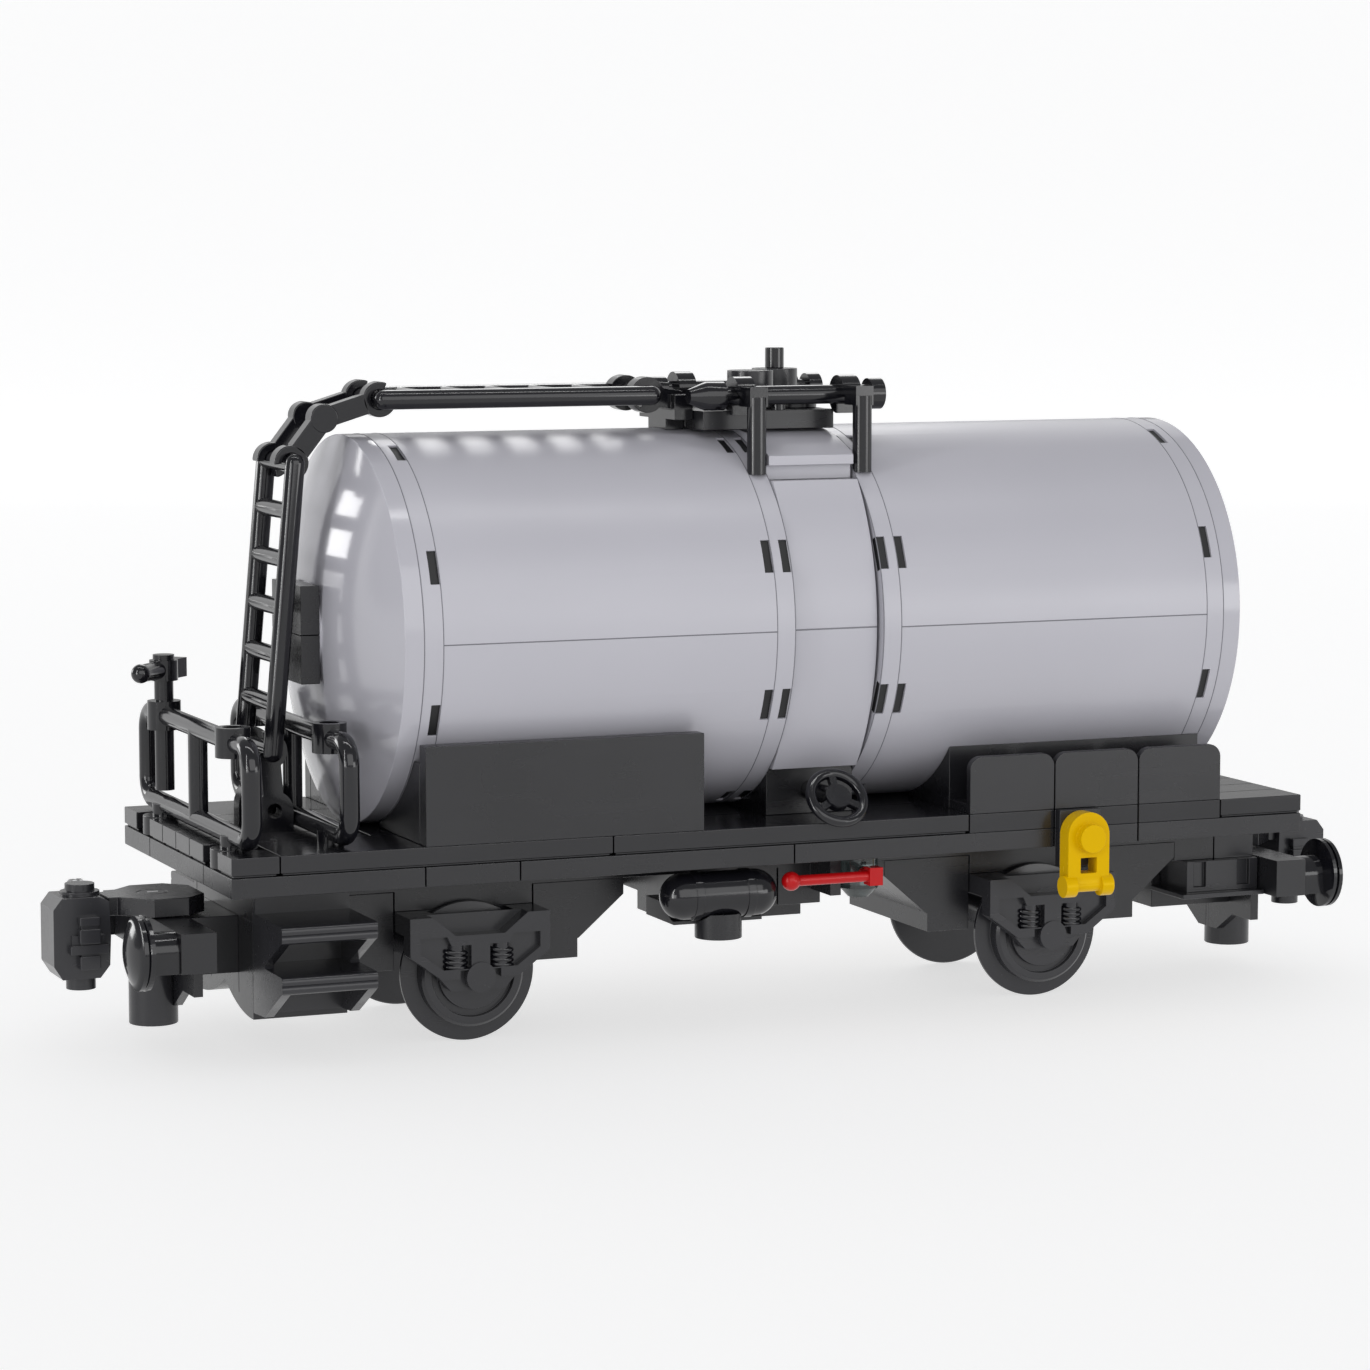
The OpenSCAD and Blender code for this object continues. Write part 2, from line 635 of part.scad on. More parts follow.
head_z = -9.4;
head_h = 13.2;
head_w = 8.6;
head_len = -arm_end * -1 + head_out;
module coupler_head() {
    profile_xz(mid_y - head_w / 2, head_w) translate([-head_out, head_z]) polygon([
        [0, -4.4], [1.4, -head_h / 2], [7.6, -head_h / 2], [9.2, -4.6],
        [9.4, 0], [9.2, 5.8], [7.6, head_h / 2], [1.4, head_h / 2], [0, 4.8]
    ]);
    upright(-16, mid_y, -18.2, 18.2 - 1, stud_r);
    upright(-16, mid_y, -3, 0.8, 3.2);
    both_sides() {
        translate([-18.6, mid_y - head_w / 2 - 0.7, head_z - 1]) cube([5.4, 1, 1.6]);
        translate([-17.2, mid_y - head_w / 2 - 1.2, head_z - 4]) cube([2.8, 1.4, 7.2]);
    }
}
module coupler_arm_left() color(BLACK) on_deck() coupler_arm();
module coupler_head_left() color(BLACK) on_deck() coupler_head();
module coupler_arm_right() color(BLACK) on_deck()
    translate([deck_len, 0, 0]) mirror([1, 0, 0]) coupler_arm();
module coupler_head_right() color(BLACK) on_deck()
    translate([deck_len, 0, 0]) mirror([1, 0, 0]) coupler_head();

// ---------- steps ----------
step_x = 8;
step_l = 16;
step_wall = 1.5;
step_d = 15.9;
step_low = -21.2;
step_z = [-5, -13];
module step_side(x) profile_yz(x, step_wall) polygon([
    [0.9, step_z[0]], [step_d, step_z[0]], [step_d, step_low], [9.8, step_low + 0.3],
    [0.6, step_z[1] - 2.8], [0.9, step_z[1]], [9.4, step_z[1]], [9.7, step_z[1] + 0.4],
    [0.6, step_z[0] - 2.7]
]);
module step_unit() {
    step_side(step_x + gap);
    step_side(step_x + step_l - gap - step_wall);
    for (z = step_z) {
        along_x(step_x + gap, 0.8, z - 0.8, step_l - 2 * gap, 0.8);
        along_x(step_x + gap, 0.8, z - 2, step_l - 2 * gap, 0.8);
        translate([step_x + gap, 0.8, z - 2.8]) cube([step_l - 2 * gap, 1, 2.8]);
        translate([step_x + gap, 0.8, z - 1.2]) cube([step_l - 2 * gap, step_d - 0.8, 1.2]);
    }
    translate([step_x + gap, step_d - step_wall, step_low]) cube([step_l - 2 * gap, step_wall, -step_low]);
}
module double_steps() color(BLACK) on_deck() both_sides() step_unit();

lobe_r = 30;
lobe_low = -7 * plate;
module step_crosspiece() color(BLACK) on_deck() {
    both_sides() block(step_x, 2 * pitch, -6 * plate, step_l, pitch, 4 * plate - 0.2);
    profile_yz(step_x + gap, step_l - 2 * gap) intersection() {
        union() for (y = [2 * pitch + 1, deck_wid - 2 * pitch - 1])
            translate([y, lobe_low + lobe_r]) circle(lobe_r, $fn = 240);
        union() {
            translate([2 * pitch, lobe_low]) square([deck_wid - 4 * pitch, plate]);
            translate([3 * pitch + gap, lobe_low])
                square([deck_wid - 6 * pitch - 2 * gap, 2 * plate]);
        }
    }
}

// ---------- fittings under the deck ----------
tank_air_x = 84;
tank_air_z = -4.9;
module air_reservoirs() color(BLACK) on_deck() both_sides() {
    capsule_x(tank_air_x - 10.2, 4, tank_air_z, 20.4, 3.9);
    for (s = [-1, 1]) along_x(tank_air_x + s * 4.6 - 0.7, 4, tank_air_z, 1.4, 4.1);
}
module reservoir_feet() color(BLACK) on_deck() both_sides() {
    difference() {
        union() {
            upright(tank_air_x, 4, -12, 4.2, 3.9);
            block(tank_air_x - 8, 4, -brick, 16, 12 + 2 * gap, plate);
        }
        along_x(tank_air_x - 12, 4, tank_air_z, 24, 4.1);
    }
}

rod_z = -3.2;
module brake_rods_red() color(RED) on_deck() both_sides() {
    translate([96.2, 2, rod_z]) rotate([0, 90, 0]) rotate_extrude() {
        square([0.9, 14.2]);
        intersection() {
            circle(1.6);
            translate([0, -1.6]) square([1.6, 3.2]);
        }
    }
    translate([110, 0.8, rod_z - 1.5]) cube([2.4, 2.4, 3]);
    along_y(111.2, 2.9, rod_z, 3, 1);
}

clear_at = [111.6, 8.8];
clear_r = 3.3;
module rod_holders_clear() color(CLEAR) on_deck() both_sides() difference() {
    translate([clear_at[0], clear_at[1], -7.6]) rotate_extrude() {
        polygon([[0, 0], [1.8, 0], [clear_r, 1.6], [clear_r, 7.6], [0, 7.6]]);
    }
    along_y(111.2, 2, rod_z, 5, 1 + fit);
}

lever_x = 148;
lever_t = 3.2;
lever_y = -4.8;
module changeover_levers_yellow() color(YELLOW) on_deck() both_sides() {
    profile_xz(lever_y, lever_t) difference() {
        union() {
            translate([lever_x, 2.4]) circle(3.9);
            translate([lever_x - 3.9, -6]) square([7.8, 8.4]);
        }
        translate([lever_x - 1.5, -4]) square([3, 2.6]);
    }
    along_y(lever_x, lever_y - stud_h, 2, stud_h + 1, stud_r);
    for (s = [-1, 1]) along_x(lever_x + s * 3.4 - 1.1, lever_y + 1, -6.2, 2.2, 1.9);
    along_x(lever_x - 3, lever_y + 1, -6.2, 6, 1.1);
}
module lever_backs() color(BLACK) on_deck() both_sides()
    block(lever_x - 4, -1.6 - gap, -plate, pitch, 1.6 + 2 * gap, deck_top + plate);

box_x = deck_len - 14.3;
box_y = 14.4;
module end_boxes() color(BLACK) on_deck() both_sides() {
    difference() {
        translate([box_x, box_y, beam_z + 0.8])
            cube([deck_len - gap - box_x, 3 * pitch - gap - box_y, 2 * plate - 1]);
        for (x = [1.4, 10.1]) translate([box_x + x, box_y - 1, beam_z + 1.6]) cube([2.4, 1.8, 4.4]);
    }
    translate([box_x - 2, 12, beam_z]) cube([deck_len - gap - box_x + 2, 3 * pitch - gap - 12, 0.8]);
    block(deck_len - pitch, 2 * pitch, -2 * plate - 0.2, pitch, pitch, 2 * plate + 0.2);
}

deck_lower_plates();
deck_upper_plates();
deck_tiles();
side_tiles();
side_panels();
saddle_bricks();
tank_barrel_left();
tank_barrel_right();
tank_rings();
tank_dome_left();
tank_dome_right();
middle_bricks();
middle_side_panels();
middle_top_slopes();
valve_bars();
valve_handwheels();
hatch_base();
hatch_domes();
hatch_pin();
hatch_rails();
rail_claws();
top_ladder();
end_ladder();
ladder_links();
ladder_rest();
ladder_foot();
dome_bracket();
platform_fence_outer();
platform_fence_inner();
brake_crank();
underframe_plates();
axle_holder_left();
axle_holder_right();
wheels_left();
axle_left();
wheels_right();
axle_right();
buffer_beams();
buffers();
coupler_pins();
coupler_arm_left();
coupler_head_left();
coupler_arm_right();
coupler_head_right();
double_steps();
air_reservoirs();
reservoir_feet();
brake_rods_red();
changeover_levers_yellow();
lever_backs();
end_boxes();
axle_walls();
coupler_stacks();
step_crosspiece();
rod_holders_clear();
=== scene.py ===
"""Brick-built toy railway tank wagon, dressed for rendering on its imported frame.

Each sub-assembly is a class that keeps its sizes as fields, builds its pieces and
gives them a finish. Places come from the frame's own boxes, and sizes that the frame
doesn't hold are fields in millimetres.
"""

import logging
import math
from dataclasses import dataclass, field
from enum import Enum

import bmesh
import bpy
from mathutils import Matrix, Vector


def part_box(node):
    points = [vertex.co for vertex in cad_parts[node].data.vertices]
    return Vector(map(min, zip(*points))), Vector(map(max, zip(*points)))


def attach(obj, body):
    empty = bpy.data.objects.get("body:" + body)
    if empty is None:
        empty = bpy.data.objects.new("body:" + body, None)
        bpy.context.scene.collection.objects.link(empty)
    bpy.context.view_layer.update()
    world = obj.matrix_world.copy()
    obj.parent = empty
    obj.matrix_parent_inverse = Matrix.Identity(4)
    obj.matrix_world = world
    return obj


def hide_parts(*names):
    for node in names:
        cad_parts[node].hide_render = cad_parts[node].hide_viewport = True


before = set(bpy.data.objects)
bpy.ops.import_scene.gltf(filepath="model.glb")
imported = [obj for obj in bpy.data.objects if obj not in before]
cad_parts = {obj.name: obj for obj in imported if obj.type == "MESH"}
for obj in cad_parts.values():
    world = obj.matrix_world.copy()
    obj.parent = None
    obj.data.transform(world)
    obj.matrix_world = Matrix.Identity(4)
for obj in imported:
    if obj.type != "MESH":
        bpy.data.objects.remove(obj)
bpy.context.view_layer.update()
LOG = logging.getLogger("tank_wagon")
MM = 0.001
MERGE_MM = 0.002
TRUE_MERGE_MM = 0.0005
FLAT_DEGREES = 0.6
SHARP_DEGREES = 32.0
NOISE_SPAN = (0.3, 0.7)
WHITE = (1.0, 1.0, 1.0, 1.0)
ACROSS = Vector((0, 1, 0))
Point = tuple[float, float, float]
Socket = bpy.types.NodeSocket


class Slot(Enum):
    """The record's material slots."""

    GREY = "grey"
    BLACK = "black"
    RED = "red"
    YELLOW = "yellow"
    SMOKE = "smoke"


class Body(Enum):
    """The bodies that pieces ride on."""

    WAGON = "wagon"
    WHEELS_LEFT = "wheelset_left"
    WHEELS_RIGHT = "wheelset_right"
    COUPLER_LEFT = "coupler_left"
    COUPLER_RIGHT = "coupler_right"


# ---------------------------------------------------------------- finishes
class NodeGraph:
    """Short-hand for adding and linking nodes in one tree."""

    def __init__(self, tree: bpy.types.NodeTree) -> None:
        """Keep the tree that nodes are added to."""
        self.tree = tree

    def add(self, kind: str, **settings: object) -> bpy.types.Node:
        """Add a node.

        Args:
            kind: Blender's name of the node type.
            settings: properties of the node, set as they are.

        Returns:
            The new node.
        """
        node = self.tree.nodes.new(kind)
        for key, value in settings.items():
            setattr(node, key, value)
        return node

    def link(self, source: Socket, target: Socket) -> None:
        """Join an output socket to an input socket."""
        self.tree.links.new(source, target)

    def noise(self, vector: Socket, scale: float, detail: float) -> Socket:
        """Add a noise texture.

        Args:
            vector: where the noise is read.
            scale: features for each metre.
            detail: octaves of finer noise.

        Returns:
            The noise's value socket.
        """
        node = self.add("ShaderNodeTexNoise")
        node.inputs["Scale"].default_value = scale
        node.inputs["Detail"].default_value = detail
        self.link(vector, node.inputs["Vector"])
        return node.outputs["Fac"]

    def spread(self, value: Socket, span: tuple[float, float],
               to: tuple[float, float]) -> Socket:
        """Map a value from one span to another, clamped at both ends.

        Args:
            value: the socket that is mapped.
            span: the lowest and highest value that comes in.
            to: what those two become.

        Returns:
            The mapped value's socket.
        """
        node = self.add("ShaderNodeMapRange")
        for name, number in zip(("From Min", "From Max", "To Min", "To Max"), (*span, *to)):
            node.inputs[name].default_value = number
        self.link(value, node.inputs["Value"])
        return node.outputs["Result"]

    def math(self, operation: str, *values: Socket | float) -> Socket:
        """Add a math node and return its result socket."""
        node = self.add("ShaderNodeMath", operation=operation)
        for socket, value in zip(node.inputs, values):
            if isinstance(value, (int, float)):
                socket.default_value = value
            else:
                self.link(value, socket)
        return node.outputs[0]

    def mix(self, factor: Socket, first: Socket | tuple,
            second: Socket | tuple) -> Socket:
        """Mix two colours.

        Args:
            factor: 0 gives the first colour, 1 the second.
            first: a colour or a colour socket.
            second: a colour or a colour socket.

        Returns:
            The mixed colour's socket.
        """
        node = self.add("ShaderNodeMix", data_type="RGBA")
        self.link(factor, node.inputs[0])
        for socket, value in ((node.inputs[6], first), (node.inputs[7], second)):
            if isinstance(value, tuple):
                socket.default_value = (*value, 1)
            else:
                self.link(value, socket)
        return node.outputs[2]


def start_material(name: str) -> tuple[bpy.types.Material, NodeGraph, bpy.types.Node, Socket]:
    """Start a material that reads the piece's own place.

    Args:
        name: the material's name.

    Returns:
        The material, its graph, its shader and the socket with the place on the piece.
    """
    material = bpy.data.materials.new(name)
    material.use_nodes = True
    graph = NodeGraph(material.node_tree)
    shader = material.node_tree.nodes["Principled BSDF"]
    return material, graph, shader, graph.add("ShaderNodeTexCoord").outputs["Object"]


@dataclass(frozen=True)
class MouldedPlastic:
    """Injection-moulded plastic: faint flow marks, fine scuffs and a little dust.

    Scales are features for each metre; gleam tints the reflections seen head-on.
    """

    name: str
    slot: Slot
    colour: Point
    roughness: float = 0.28
    tone_spread: float = 0.05
    dust: float = 0.05
    flow_scale: float = 26.0
    scuff_scale: float = 900.0
    smudge_scale: float = 70.0
    grain_scale: float = 5200.0
    grain_depth_mm: float = 0.004
    sink_depth_mm: float = 0.03
    speck_scale: float = 1500.0
    gleam: Point = (1.0, 1.0, 1.0)
    ior: float = 1.53

    def toned(self, factor: float) -> Point:
        """Return the colour made lighter or darker by a factor."""
        return tuple(min(1.0, channel * factor) for channel in self.colour)

    def build(self) -> bpy.types.Material:
        """Make the material, or return it if it is already made."""
        made = bpy.data.materials.get(self.name)
        if made:
            return made
        material, graph, shader, place = start_material(self.name)
        flow = graph.noise(place, self.flow_scale, 3.0)
        tone = graph.spread(flow, NOISE_SPAN, (0.0, 1.0))
        body = graph.mix(tone, self.toned(1 - self.tone_spread), self.toned(1 + self.tone_spread))
        specks = graph.spread(graph.noise(place, self.speck_scale, 2.0), (0.72, 0.80), (0.0, 0.35))
        dusty = tuple(c + (1 - c) * self.dust for c in self.colour)
        graph.link(graph.mix(specks, body, dusty), shader.inputs["Base Color"])

        stretch = graph.add("ShaderNodeMapping")
        stretch.inputs["Scale"].default_value = (0.06, 1.0, 0.5)
        graph.link(place, stretch.inputs["Vector"])
        scuff = graph.noise(stretch.outputs["Vector"], self.scuff_scale, 5.0)
        smudge = graph.noise(place, self.smudge_scale, 5.0)
        rough = graph.math("ADD", graph.spread(smudge, NOISE_SPAN, (-0.02, 0.03)),
                           graph.spread(scuff, (0.55, 0.75), (0.0, 0.04)))
        graph.link(graph.math("ADD", rough, self.roughness), shader.inputs["Roughness"])

        normal = None
        for scale, detail, depth in ((self.flow_scale * 1.7, 1.0, self.sink_depth_mm),
                                     (self.grain_scale, 2.0, self.grain_depth_mm)):
            source = graph.noise(place, scale, detail)
            bump = graph.add("ShaderNodeBump")
            bump.inputs["Distance"].default_value = depth * MM
            graph.link(source, bump.inputs["Height"])
            if normal:
                graph.link(normal, bump.inputs["Normal"])
            normal = bump.outputs["Normal"]
        graph.link(normal, shader.inputs["Normal"])
        shader.inputs["IOR"].default_value = self.ior
        shader.inputs["Specular Tint"].default_value = (*self.gleam, 1)
        return material


@dataclass(frozen=True)
class SmokedPlastic:
    """See-through moulded plastic with a smoky tint and a clean surface."""

    name: str
    slot: Slot
    colour: Point
    roughness: float = 0.06
    see_through: float = 0.85
    swirl_scale: float = 180.0
    ripple_scale: float = 400.0
    ripple_mm: float = 0.02
    ior: float = 1.58

    def build(self) -> bpy.types.Material:
        """Make the material, or return it if it is already made."""
        made = bpy.data.materials.get(self.name)
        if made:
            return made
        material, graph, shader, place = start_material(self.name)
        swirl = graph.spread(graph.noise(place, self.swirl_scale, 3.0), NOISE_SPAN, (0.0, 1.0))
        pale = tuple(min(1.0, channel * 1.15) for channel in self.colour)
        graph.link(graph.mix(swirl, self.colour, pale), shader.inputs["Base Color"])
        bump = graph.add("ShaderNodeBump")
        bump.inputs["Distance"].default_value = self.ripple_mm * MM
        graph.link(graph.noise(place, self.ripple_scale, 1.0), bump.inputs["Height"])
        graph.link(bump.outputs["Normal"], shader.inputs["Normal"])
        shader.inputs["Roughness"].default_value = self.roughness
        shader.inputs["Transmission Weight"].default_value = self.see_through
        shader.inputs["IOR"].default_value = self.ior
        return material


Finish = MouldedPlastic | SmokedPlastic

TANK_GREY = MouldedPlastic("tank_grey_plastic", Slot.GREY, (0.405, 0.400, 0.440),
                           roughness=0.30, tone_spread=0.02)
DOME_GREY = MouldedPlastic("dome_grey_plastic", Slot.GREY, (0.405, 0.400, 0.440),
                           roughness=0.13, tone_spread=0.02)
# Dark grey that paints the shade in the tank's joints and gaps.
JOINT_PAINTED_SHADE = MouldedPlastic("painted_joint_shade", Slot.GREY, (0.16, 0.16, 0.18),
                           roughness=0.5, tone_spread=0.05)
DECK_BLACK = MouldedPlastic("deck_black_plastic", Slot.BLACK, (0.010, 0.010, 0.012),
                            roughness=0.17, tone_spread=0.12, sink_depth_mm=0.01)
BRICK_BLACK = MouldedPlastic("brick_black_plastic", Slot.BLACK, (0.010, 0.010, 0.012),
                             roughness=0.27, tone_spread=0.12)
TUBE_BLACK = MouldedPlastic("tube_black_plastic", Slot.BLACK, (0.006, 0.006, 0.008),
                            roughness=0.12, tone_spread=0.10, scuff_scale=600.0)
# Black painted lighter than the other blacks: the lighter colour stands in for light falling on the
# wheels, guards, steps, boxes and coupler heads.
BLACK_PAINTED_LIGHTER = MouldedPlastic("black_plastic_painted_lighter", Slot.BLACK, (0.018, 0.018, 0.021),
                            roughness=0.24, tone_spread=0.12)
CORE_BLACK = MouldedPlastic("core_black_plastic", Slot.BLACK, (0.004, 0.004, 0.005),
                            roughness=0.5, tone_spread=0.10)
# Pale grey that paints the highlight in the coupler pin's slot.
SLOT_PAINTED_HIGHLIGHT = MouldedPlastic("slot_painted_highlight", Slot.GREY, (0.62, 0.62, 0.62),
                          roughness=0.3, tone_spread=0.04)
ROD_RED = MouldedPlastic("rod_red_plastic", Slot.RED, (0.40, 0.0032, 0.0048),
                         roughness=0.20, tone_spread=0.05, gleam=(1.0, 0.55, 0.55))
LEVER_YELLOW = MouldedPlastic("lever_yellow_plastic", Slot.YELLOW, (0.60, 0.36, 0.0),
                              roughness=0.24, tone_spread=0.04, gleam=(1.0, 0.75, 0.08))
HOLDER_SMOKE = SmokedPlastic("holder_smoked_plastic", Slot.SMOKE, (0.16, 0.20, 0.20))


# ---------------------------------------------------------------- mesh helpers
def link_mesh(name: str, mesh: bpy.types.Mesh) -> bpy.types.Object:
    """Put a mesh in the scene as an object at the origin."""
    piece = bpy.data.objects.new(name, mesh)
    bpy.context.scene.collection.objects.link(piece)
    return piece


def set_finish(piece: bpy.types.Object, finish: Finish) -> None:
    """Give a piece one finish."""
    piece.data.materials.clear()
    piece.data.materials.append(finish.build())


def soften_edges(piece: bpy.types.Object, width_mm: float) -> None:
    """Round a piece's sharp edges with a small live bevel and shade it smooth.

    Args:
        piece: the piece, with merged vertices.
        width_mm: the bevel's width.
    """
    piece.data.shade_smooth()
    bevel = piece.modifiers.new("moulded_edges", "BEVEL")
    bevel.width = width_mm * MM
    bevel.segments = 2
    bevel.limit_method = "ANGLE"
    bevel.angle_limit = math.radians(SHARP_DEGREES)
    bevel.harden_normals = True
    bevel.use_clamp_overlap = True
    bevel.miter_outer = "MITER_ARC"


def moulded_copy(node: str, finish: Finish, body: Body = Body.WAGON,
                 bevel_mm: float = 0.16) -> bpy.types.Object:
    """Stand a merged copy with softened edges in for a CAD node.

    Args:
        node: the CAD node's name.
        finish: what it is made of.
        body: what it rides on.
        bevel_mm: width of the softened edges.

    Returns:
        The piece that replaces the node.
    """
    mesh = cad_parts[node].data.copy()
    work = bmesh.new()
    work.from_mesh(mesh)
    bmesh.ops.remove_doubles(work, verts=work.verts, dist=MERGE_MM * MM)
    bmesh.ops.dissolve_limit(work, angle_limit=math.radians(FLAT_DEGREES), verts=work.verts,
                             edges=work.edges)
    work.to_mesh(mesh)
    work.free()
    stored = mesh.attributes.get("custom_normal")
    if stored:
        mesh.attributes.remove(stored)
    piece = link_mesh(node + "_moulded", mesh)
    set_finish(piece, finish)
    soften_edges(piece, bevel_mm)
    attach(piece, body.value)
    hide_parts(node)
    LOG.info("%s: %d faces, %s", piece.name, len(mesh.polygons), finish.name)
    return piece


def add_block(work: bmesh.types.BMesh, start: Vector, end: Vector, deep: float,
              wide: float) -> None:
    """Add a block that runs between two points of the same Y.

    Args:
        work: the mesh that gets the block.
        start: middle of one end.
        end: middle of the other end.
        deep: size along Y.
        wide: size across both.
    """
    along = (end - start).normalized()
    across = along.cross(ACROSS) * wide / 2
    side = ACROSS * deep / 2
    corners = [work.verts.new(end_point + s * side + t * across)
               for end_point in (start, end) for s in (-1, 1) for t in (-1, 1)]
    bmesh.ops.convex_hull(work, input=corners)


def add_arc_ring(work: bmesh.types.BMesh, centre: Vector, radii: tuple[float, float], deep: float,
                 arc: tuple[float, float], steps: int = 28) -> None:
    """Add a ring or an open claw round the Y direction.

    Args:
        work: the mesh that gets the ring.
        centre: the ring's middle.
        radii: inner and outer radius.
        deep: size along Y.
        arc: first and last angle in degrees, measured from +X towards +Z.
        steps: sections round the arc.
    """
    first, last = (math.radians(a) for a in arc)
    inner, outer = radii
    sections = []
    for i in range(steps + 1):
        turn = first + (last - first) * i / steps
        out = Vector((math.cos(turn), 0, math.sin(turn)))
        sections.append([work.verts.new(centre + out * radius + ACROSS * side * deep / 2)
                         for radius, side in ((inner, -1), (outer, -1), (outer, 1), (inner, 1))])
    for a, b in zip(sections, sections[1:]):
        for i in range(4):
            work.faces.new((a[i], a[(i + 1) % 4], b[(i + 1) % 4], b[i]))
    work.faces.new(sections[0])
    work.faces.new(sections[-1])


def add_lathe(work: bmesh.types.BMesh, profile: list[tuple[float, float]], centre: Vector,
              axis: Vector, steps: int = 48) -> None:
    """Add a turned shape, closed at both ends of its profile.

    Args:
        work: the mesh that gets the shape.
        profile: pairs of distance along the axis and radius.
        centre: where the axis starts.
        axis: unit direction of the axis.
        steps: sections round the axis.
    """
    side = axis.orthogonal().normalized()
    rings = []
    for along, radius in profile:
        ring = [work.verts.new(centre + axis * along
                               + Matrix.Rotation(2 * math.pi * i / steps, 4, axis) @ side * radius)
                for i in range(steps)]
        rings.append(ring)
    for a, b in zip(rings, rings[1:]):
        for i in range(steps):
            j = (i + 1) % steps
            work.faces.new((a[i], a[j], b[j], b[i]))
    work.faces.new(rings[0])
    work.faces.new(rings[-1])


def finish_solid(name: str, work: bmesh.types.BMesh, finish: Finish, body: Body = Body.WAGON,
                 bevel_mm: float = 0.12) -> bpy.types.Object:
    """Turn a worked mesh into a dressed piece with its faces outwards.

    Args:
        name: the piece's name.
        work: the mesh, which is freed.
        finish: what it is made of.
        body: what it rides on.
        bevel_mm: width of the softened edges, or 0 for none.

    Returns:
        The finished piece.
    """
    bmesh.ops.remove_doubles(work, verts=work.verts, dist=TRUE_MERGE_MM * MM)
    bmesh.ops.recalc_face_normals(work, faces=work.faces)
    mesh = bpy.data.meshes.new(name)
    work.to_mesh(mesh)
    work.free()
    piece = link_mesh(name, mesh)
    set_finish(piece, finish)
    if bevel_mm:
        soften_edges(piece, bevel_mm)
    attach(piece, body.value)
    LOG.info("%s: %d faces, %s", name, len(mesh.polygons), finish.name)
    return piece


# ---------------------------------------------------------------- repeated shapes
class RepeatTree:
    """A Geometry Nodes tree with named inputs, baked into plain meshes."""

    def __init__(self, name: str, finish: Finish) -> None:
        """Start an empty tree.

        Args:
            name: the tree's name.
            finish: what the tree's shapes are made of.
        """
        self.name = name
        self.finish = finish
        self.tree = bpy.data.node_groups.new(name, "GeometryNodeTree")
        self.tree.interface.new_socket("Geometry", in_out="OUTPUT",
                                       socket_type="NodeSocketGeometry")
        self.graph = NodeGraph(self.tree)
        self.group_input = self.graph.add("NodeGroupInput")

    def size(self, name: str, kind: str = "NodeSocketFloat") -> Socket:
        """Add a named input and return its socket inside the tree."""
        self.tree.interface.new_socket(name, in_out="INPUT", socket_type=kind)
        return self.group_input.outputs[name]

    def node(self, kind: str, links: dict[str, object], **settings: object) -> bpy.types.Node:
        """Add a node with some of its inputs set or linked.

        Args:
            kind: Blender's name of the node type.
            links: for each input, a socket to link or a value to set.
            settings: properties of the node.

        Returns:
            The new node.
        """
        node = self.graph.add(kind, **settings)
        for name, source in links.items():
            if isinstance(source, Socket):
                self.graph.link(source, node.inputs[name])
            else:
                node.inputs[name].default_value = source
        return node

    def close(self, geometry: Socket) -> None:
        """End the tree in real geometry with the finish on it."""
        real = self.node("GeometryNodeRealizeInstances", {"Geometry": geometry})
        smooth = self.node("GeometryNodeSetShadeSmooth", {"Geometry": real.outputs["Geometry"]})
        dressed = self.node("GeometryNodeSetMaterial", {"Geometry": smooth.outputs["Geometry"],
                                                        "Material": self.finish.build()})
        output = self.graph.add("NodeGroupOutput")
        self.graph.link(dressed.outputs["Geometry"], output.inputs["Geometry"])

    def bake(self, name: str, sizes: dict[str, object]) -> bpy.types.Mesh:
        """Evaluate the tree once and return a plain mesh.

        Args:
            name: the mesh's name.
            sizes: a value for each named input.

        Returns:
            The mesh, in the object's own frame.
        """
        host = link_mesh(name + "_host", bpy.data.meshes.new(name + "_host"))
        modifier = host.modifiers.new(self.name, "NODES")
        modifier.node_group = self.tree
        for item in self.tree.interface.items_tree:
            if item.in_out == "INPUT" and item.name in sizes:
                modifier[item.identifier] = sizes[item.name]
        graph = bpy.context.evaluated_depsgraph_get()
        graph.update()
        mesh = bpy.data.meshes.new_from_object(host.evaluated_get(graph))
        mesh.name = name
        host.modifiers.remove(modifier)
        bpy.data.objects.remove(host)
        return mesh

    def piece(self, name: str, places: list[dict[str, object]],
              body: Body = Body.WAGON) -> bpy.types.Object:
        """Bake the tree at several places and join the results into one piece.

        Args:
            name: the piece's name.
            places: the named sizes of each copy.
            body: what the piece rides on.

        Returns:
            The finished piece.
        """
        joined = bmesh.new()
        for number, sizes in enumerate(places):
            part = self.bake(f"{name}_{number}", sizes)
            joined.from_mesh(part)
            bpy.data.meshes.remove(part)
        mesh = bpy.data.meshes.new(name)
        joined.to_mesh(mesh)
        joined.free()
        piece = link_mesh(name, mesh)
        set_finish(piece, self.finish)
        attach(piece, body.value)
        LOG.info("%s: %d faces from %s", name, len(mesh.polygons), self.name)
        return piece


